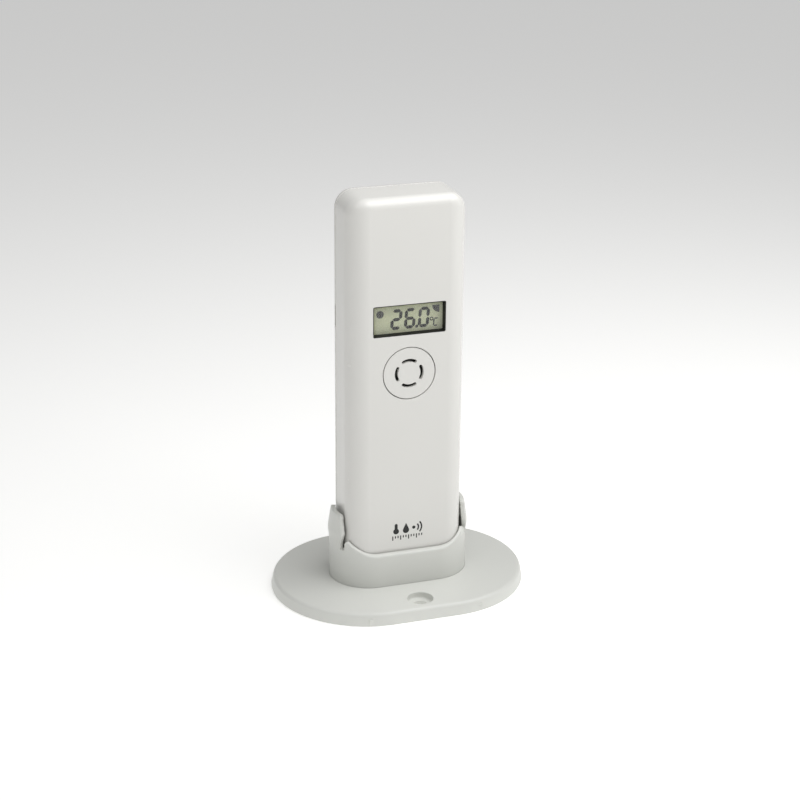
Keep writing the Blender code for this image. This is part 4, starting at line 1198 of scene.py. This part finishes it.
REAR_ROUNDS = (5.4 * MM, 5.3 * MM)
cover = case_shell("rear_shell", REAR, PARTING_REAR, *REAR_ROUNDS)
opening_cut = solid("door_opening", [
    upright(door_outline(GAP), INSIDE_REAR - 2 * MM),
    upright(door_outline(GAP), REAR + 1 * MM),
])
combine(cover, "DIFFERENCE", opening_cut)
LEDGE_LOW = INSIDE_REAR - 1.7 * MM
CUP, CUP_DEPTH = 3.6 * MM, 4.3 * MM  # radius and depth of a screw's cup
HEAD_BORE, HEAD_FLOOR, SHANK_BORE = 2.9 * MM, 6.9 * MM, 1.45 * MM


def at_screws(name, profile, y, steps=48):
    """One turned solid along Y at each case screw."""
    return [turned(name, profile, (x, y, z), (0, 1, 0), steps) for x, z in screw_places]


cups = at_screws(
    "cup", [(0, 0), (CUP - 0.2 * MM, 0), (CUP, 0.2 * MM), (CUP, CUP_DEPTH), (0, CUP_DEPTH)],
    PARTING_REAR + 0.15 * MM,
)
combine(
    cover, "UNION",
    tube("ledge_wall", door_outline(1.4 * MM), door_outline(0.6 * MM), LEDGE_LOW,
         INSIDE_REAR + 0.4 * MM),
    tube("ledge", door_outline(1.0 * MM), door_outline(-0.9 * MM), LEDGE_LOW + 0.1 * MM,
         INSIDE_REAR - 0.8 * MM),
    *cups,
)
head_bores = at_screws(
    "head_bore",
    [(0, 0), (HEAD_BORE, 0), (HEAD_BORE, 3.3 * MM), (HEAD_BORE + 0.3 * MM, 3.75 * MM),
     (HEAD_BORE + 0.3 * MM, 5 * MM), (0, 5 * MM)],
    HEAD_FLOOR,
)
shank_bores = at_screws(
    "shank_bore", [(0, 0), (SHANK_BORE, 0), (SHANK_BORE, 6 * MM), (0, 6 * MM)], 4 * MM, 32,
)
SCOOP, SCOOP_LOW = 7.5 * MM, 17.4 * MM  # room in the ledge for the cells' feet
scoops = [
    turned("scoop", [(0, 0), (SCOOP, 0), (SCOOP, 9 * MM), (0, 9 * MM)],
           (side * 7.45 * MM, cell_y, SCOOP_LOW), (0, 0, 1), 64)
    for side in (-1, 1)
]
NOTCH_DEPTH, NOTCH_LOW, NOTCH_HIGH = 0.9 * MM, 87 * MM, 94 * MM
pry_notch = block(
    "pry_notch", (-CASE_WIDTH / 2 - 1 * MM, PARTING_REAR - 0.5 * MM, NOTCH_LOW),
    (-CASE_WIDTH / 2 + NOTCH_DEPTH, PARTING_REAR + 0.85 * MM, NOTCH_HIGH), 0.2 * MM,
)
combine(cover, "DIFFERENCE", *head_bores, *shank_bores, *scoops, pry_notch)
finish(cover, CASE_WHITE, "sensor", "white_abs", "rear_cover")


# ------------------------------------------------------------ screws
# Three plated steel screws with rolled threads and pressed cross recesses close the case
# from behind. Four smaller ones hold the board to the front shell.

HEAD_RADIUS, HEAD_LOW = 2.5 * MM, 7.2 * MM
SHANK_RADIUS, THREAD_ROOT, THREAD_CREST = 0.95 * MM, 0.85 * MM, 1.1 * MM
THREAD_FROM, PITCH = 1.4 * MM, 0.7 * MM
ARM_LENGTH, ARM_WIDTH = 1.45 * MM, 0.27 * MM  # halves of the cross recess's arms
for number, (x, z) in enumerate(screw_places, 1):
    screw_low, screw_high = CASE_SCREWS[number - 1]
    tip = screw_low.y
    rise = screw_high.y - tip
    head_foot = HEAD_LOW - tip
    screw_profile = [(0.0, 0.0), (1.0 * MM, 1.2 * MM)]
    turns = int((head_foot - 1.2 * MM - THREAD_FROM) / PITCH)
    for step in range(turns):
        foot = THREAD_FROM + step * PITCH
        screw_profile += [(THREAD_ROOT, foot), (THREAD_CREST, foot + PITCH * 0.5)]
    screw_profile += [
        (SHANK_RADIUS, head_foot - 1.0 * MM), (SHANK_RADIUS, head_foot), (HEAD_RADIUS, head_foot),
        (HEAD_RADIUS, head_foot + 0.8 * MM), (HEAD_RADIUS - 0.35 * MM, head_foot + 1.25 * MM),
        (HEAD_RADIUS - 1.1 * MM, rise - 0.08 * MM), (0.0, rise),
    ]
    screw = turned("closing_screw_%d" % number, screw_profile, (x, tip, z), (0, 1, 0), 48)
    for half_x, half_z in ((ARM_LENGTH, ARM_WIDTH), (ARM_WIDTH, ARM_LENGTH)):
        mouth = rounded_rect(2 * half_x, 2 * half_z, 0.08 * MM, (x, z), 2)
        floor = rounded_rect(1.5 * half_x, 1.7 * half_z, 0.08 * MM, (x, z), 2)
        combine(screw, "DIFFERENCE", solid("cross", [
            upright(floor, screw_high.y - 1.0 * MM), upright(mouth, screw_high.y + 0.2 * MM),
        ]))
    finish(screw, PLATED_STEEL, "sensor", "plated_steel", "case_screw_%d" % number)
coat(PLATED_STEEL, "plated_steel", *["board_screw_%d" % number for number in (1, 2, 3, 4)])


# ------------------------------------------------------------ battery door
# A piece of the same moulded skin that tilts about its foot, with a snap at its top and
# three finger grips. The hooks it would turn on are left out.

door = case_shell("door_skin", REAR, PARTING_REAR, *REAR_ROUNDS)
EDGE = 0.25 * MM
DOOR_INSIDE = 7.0 * MM  # well below the skin
door_prism = solid("door_prism", [
    upright(door_outline(0.0), DOOR_INSIDE), upright(door_outline(0.0), REAR - EDGE),
    upright(door_outline(-0.3 * EDGE), REAR - 0.3 * EDGE),
    upright(door_outline(-EDGE), REAR + 0.02 * MM), upright(door_outline(-EDGE), REAR + 1 * MM),
])
combine(door, "INTERSECT", door_prism)
SNAP_LOW, SNAP_HIGH = Vector((-4, 6.2, 76.6)) * MM, Vector((4, 0, 77.9)) * MM
SNAP_HIGH.y = INSIDE_REAR + 0.5 * MM
combine(door, "UNION", block("snap", SNAP_LOW, SNAP_HIGH, 0.15 * MM))
GRIP_HALF, GRIP_DEPTH, GRIP_HEIGHT, GRIP_ROUND = 5 * MM, 0.4 * MM, 0.7 * MM, 0.18 * MM
grips = [
    block("grip", (-GRIP_HALF, REAR - GRIP_DEPTH, grip_z),
          (GRIP_HALF, REAR + 1 * MM, grip_z + GRIP_HEIGHT), GRIP_ROUND)
    for grip_z in [door_high.z - (3.2 + 1.6 * number) * MM for number in range(3)]
]
combine(door, "DIFFERENCE", *grips)
finish(door, CASE_WHITE, "battery_door", "white_abs", "battery_door")
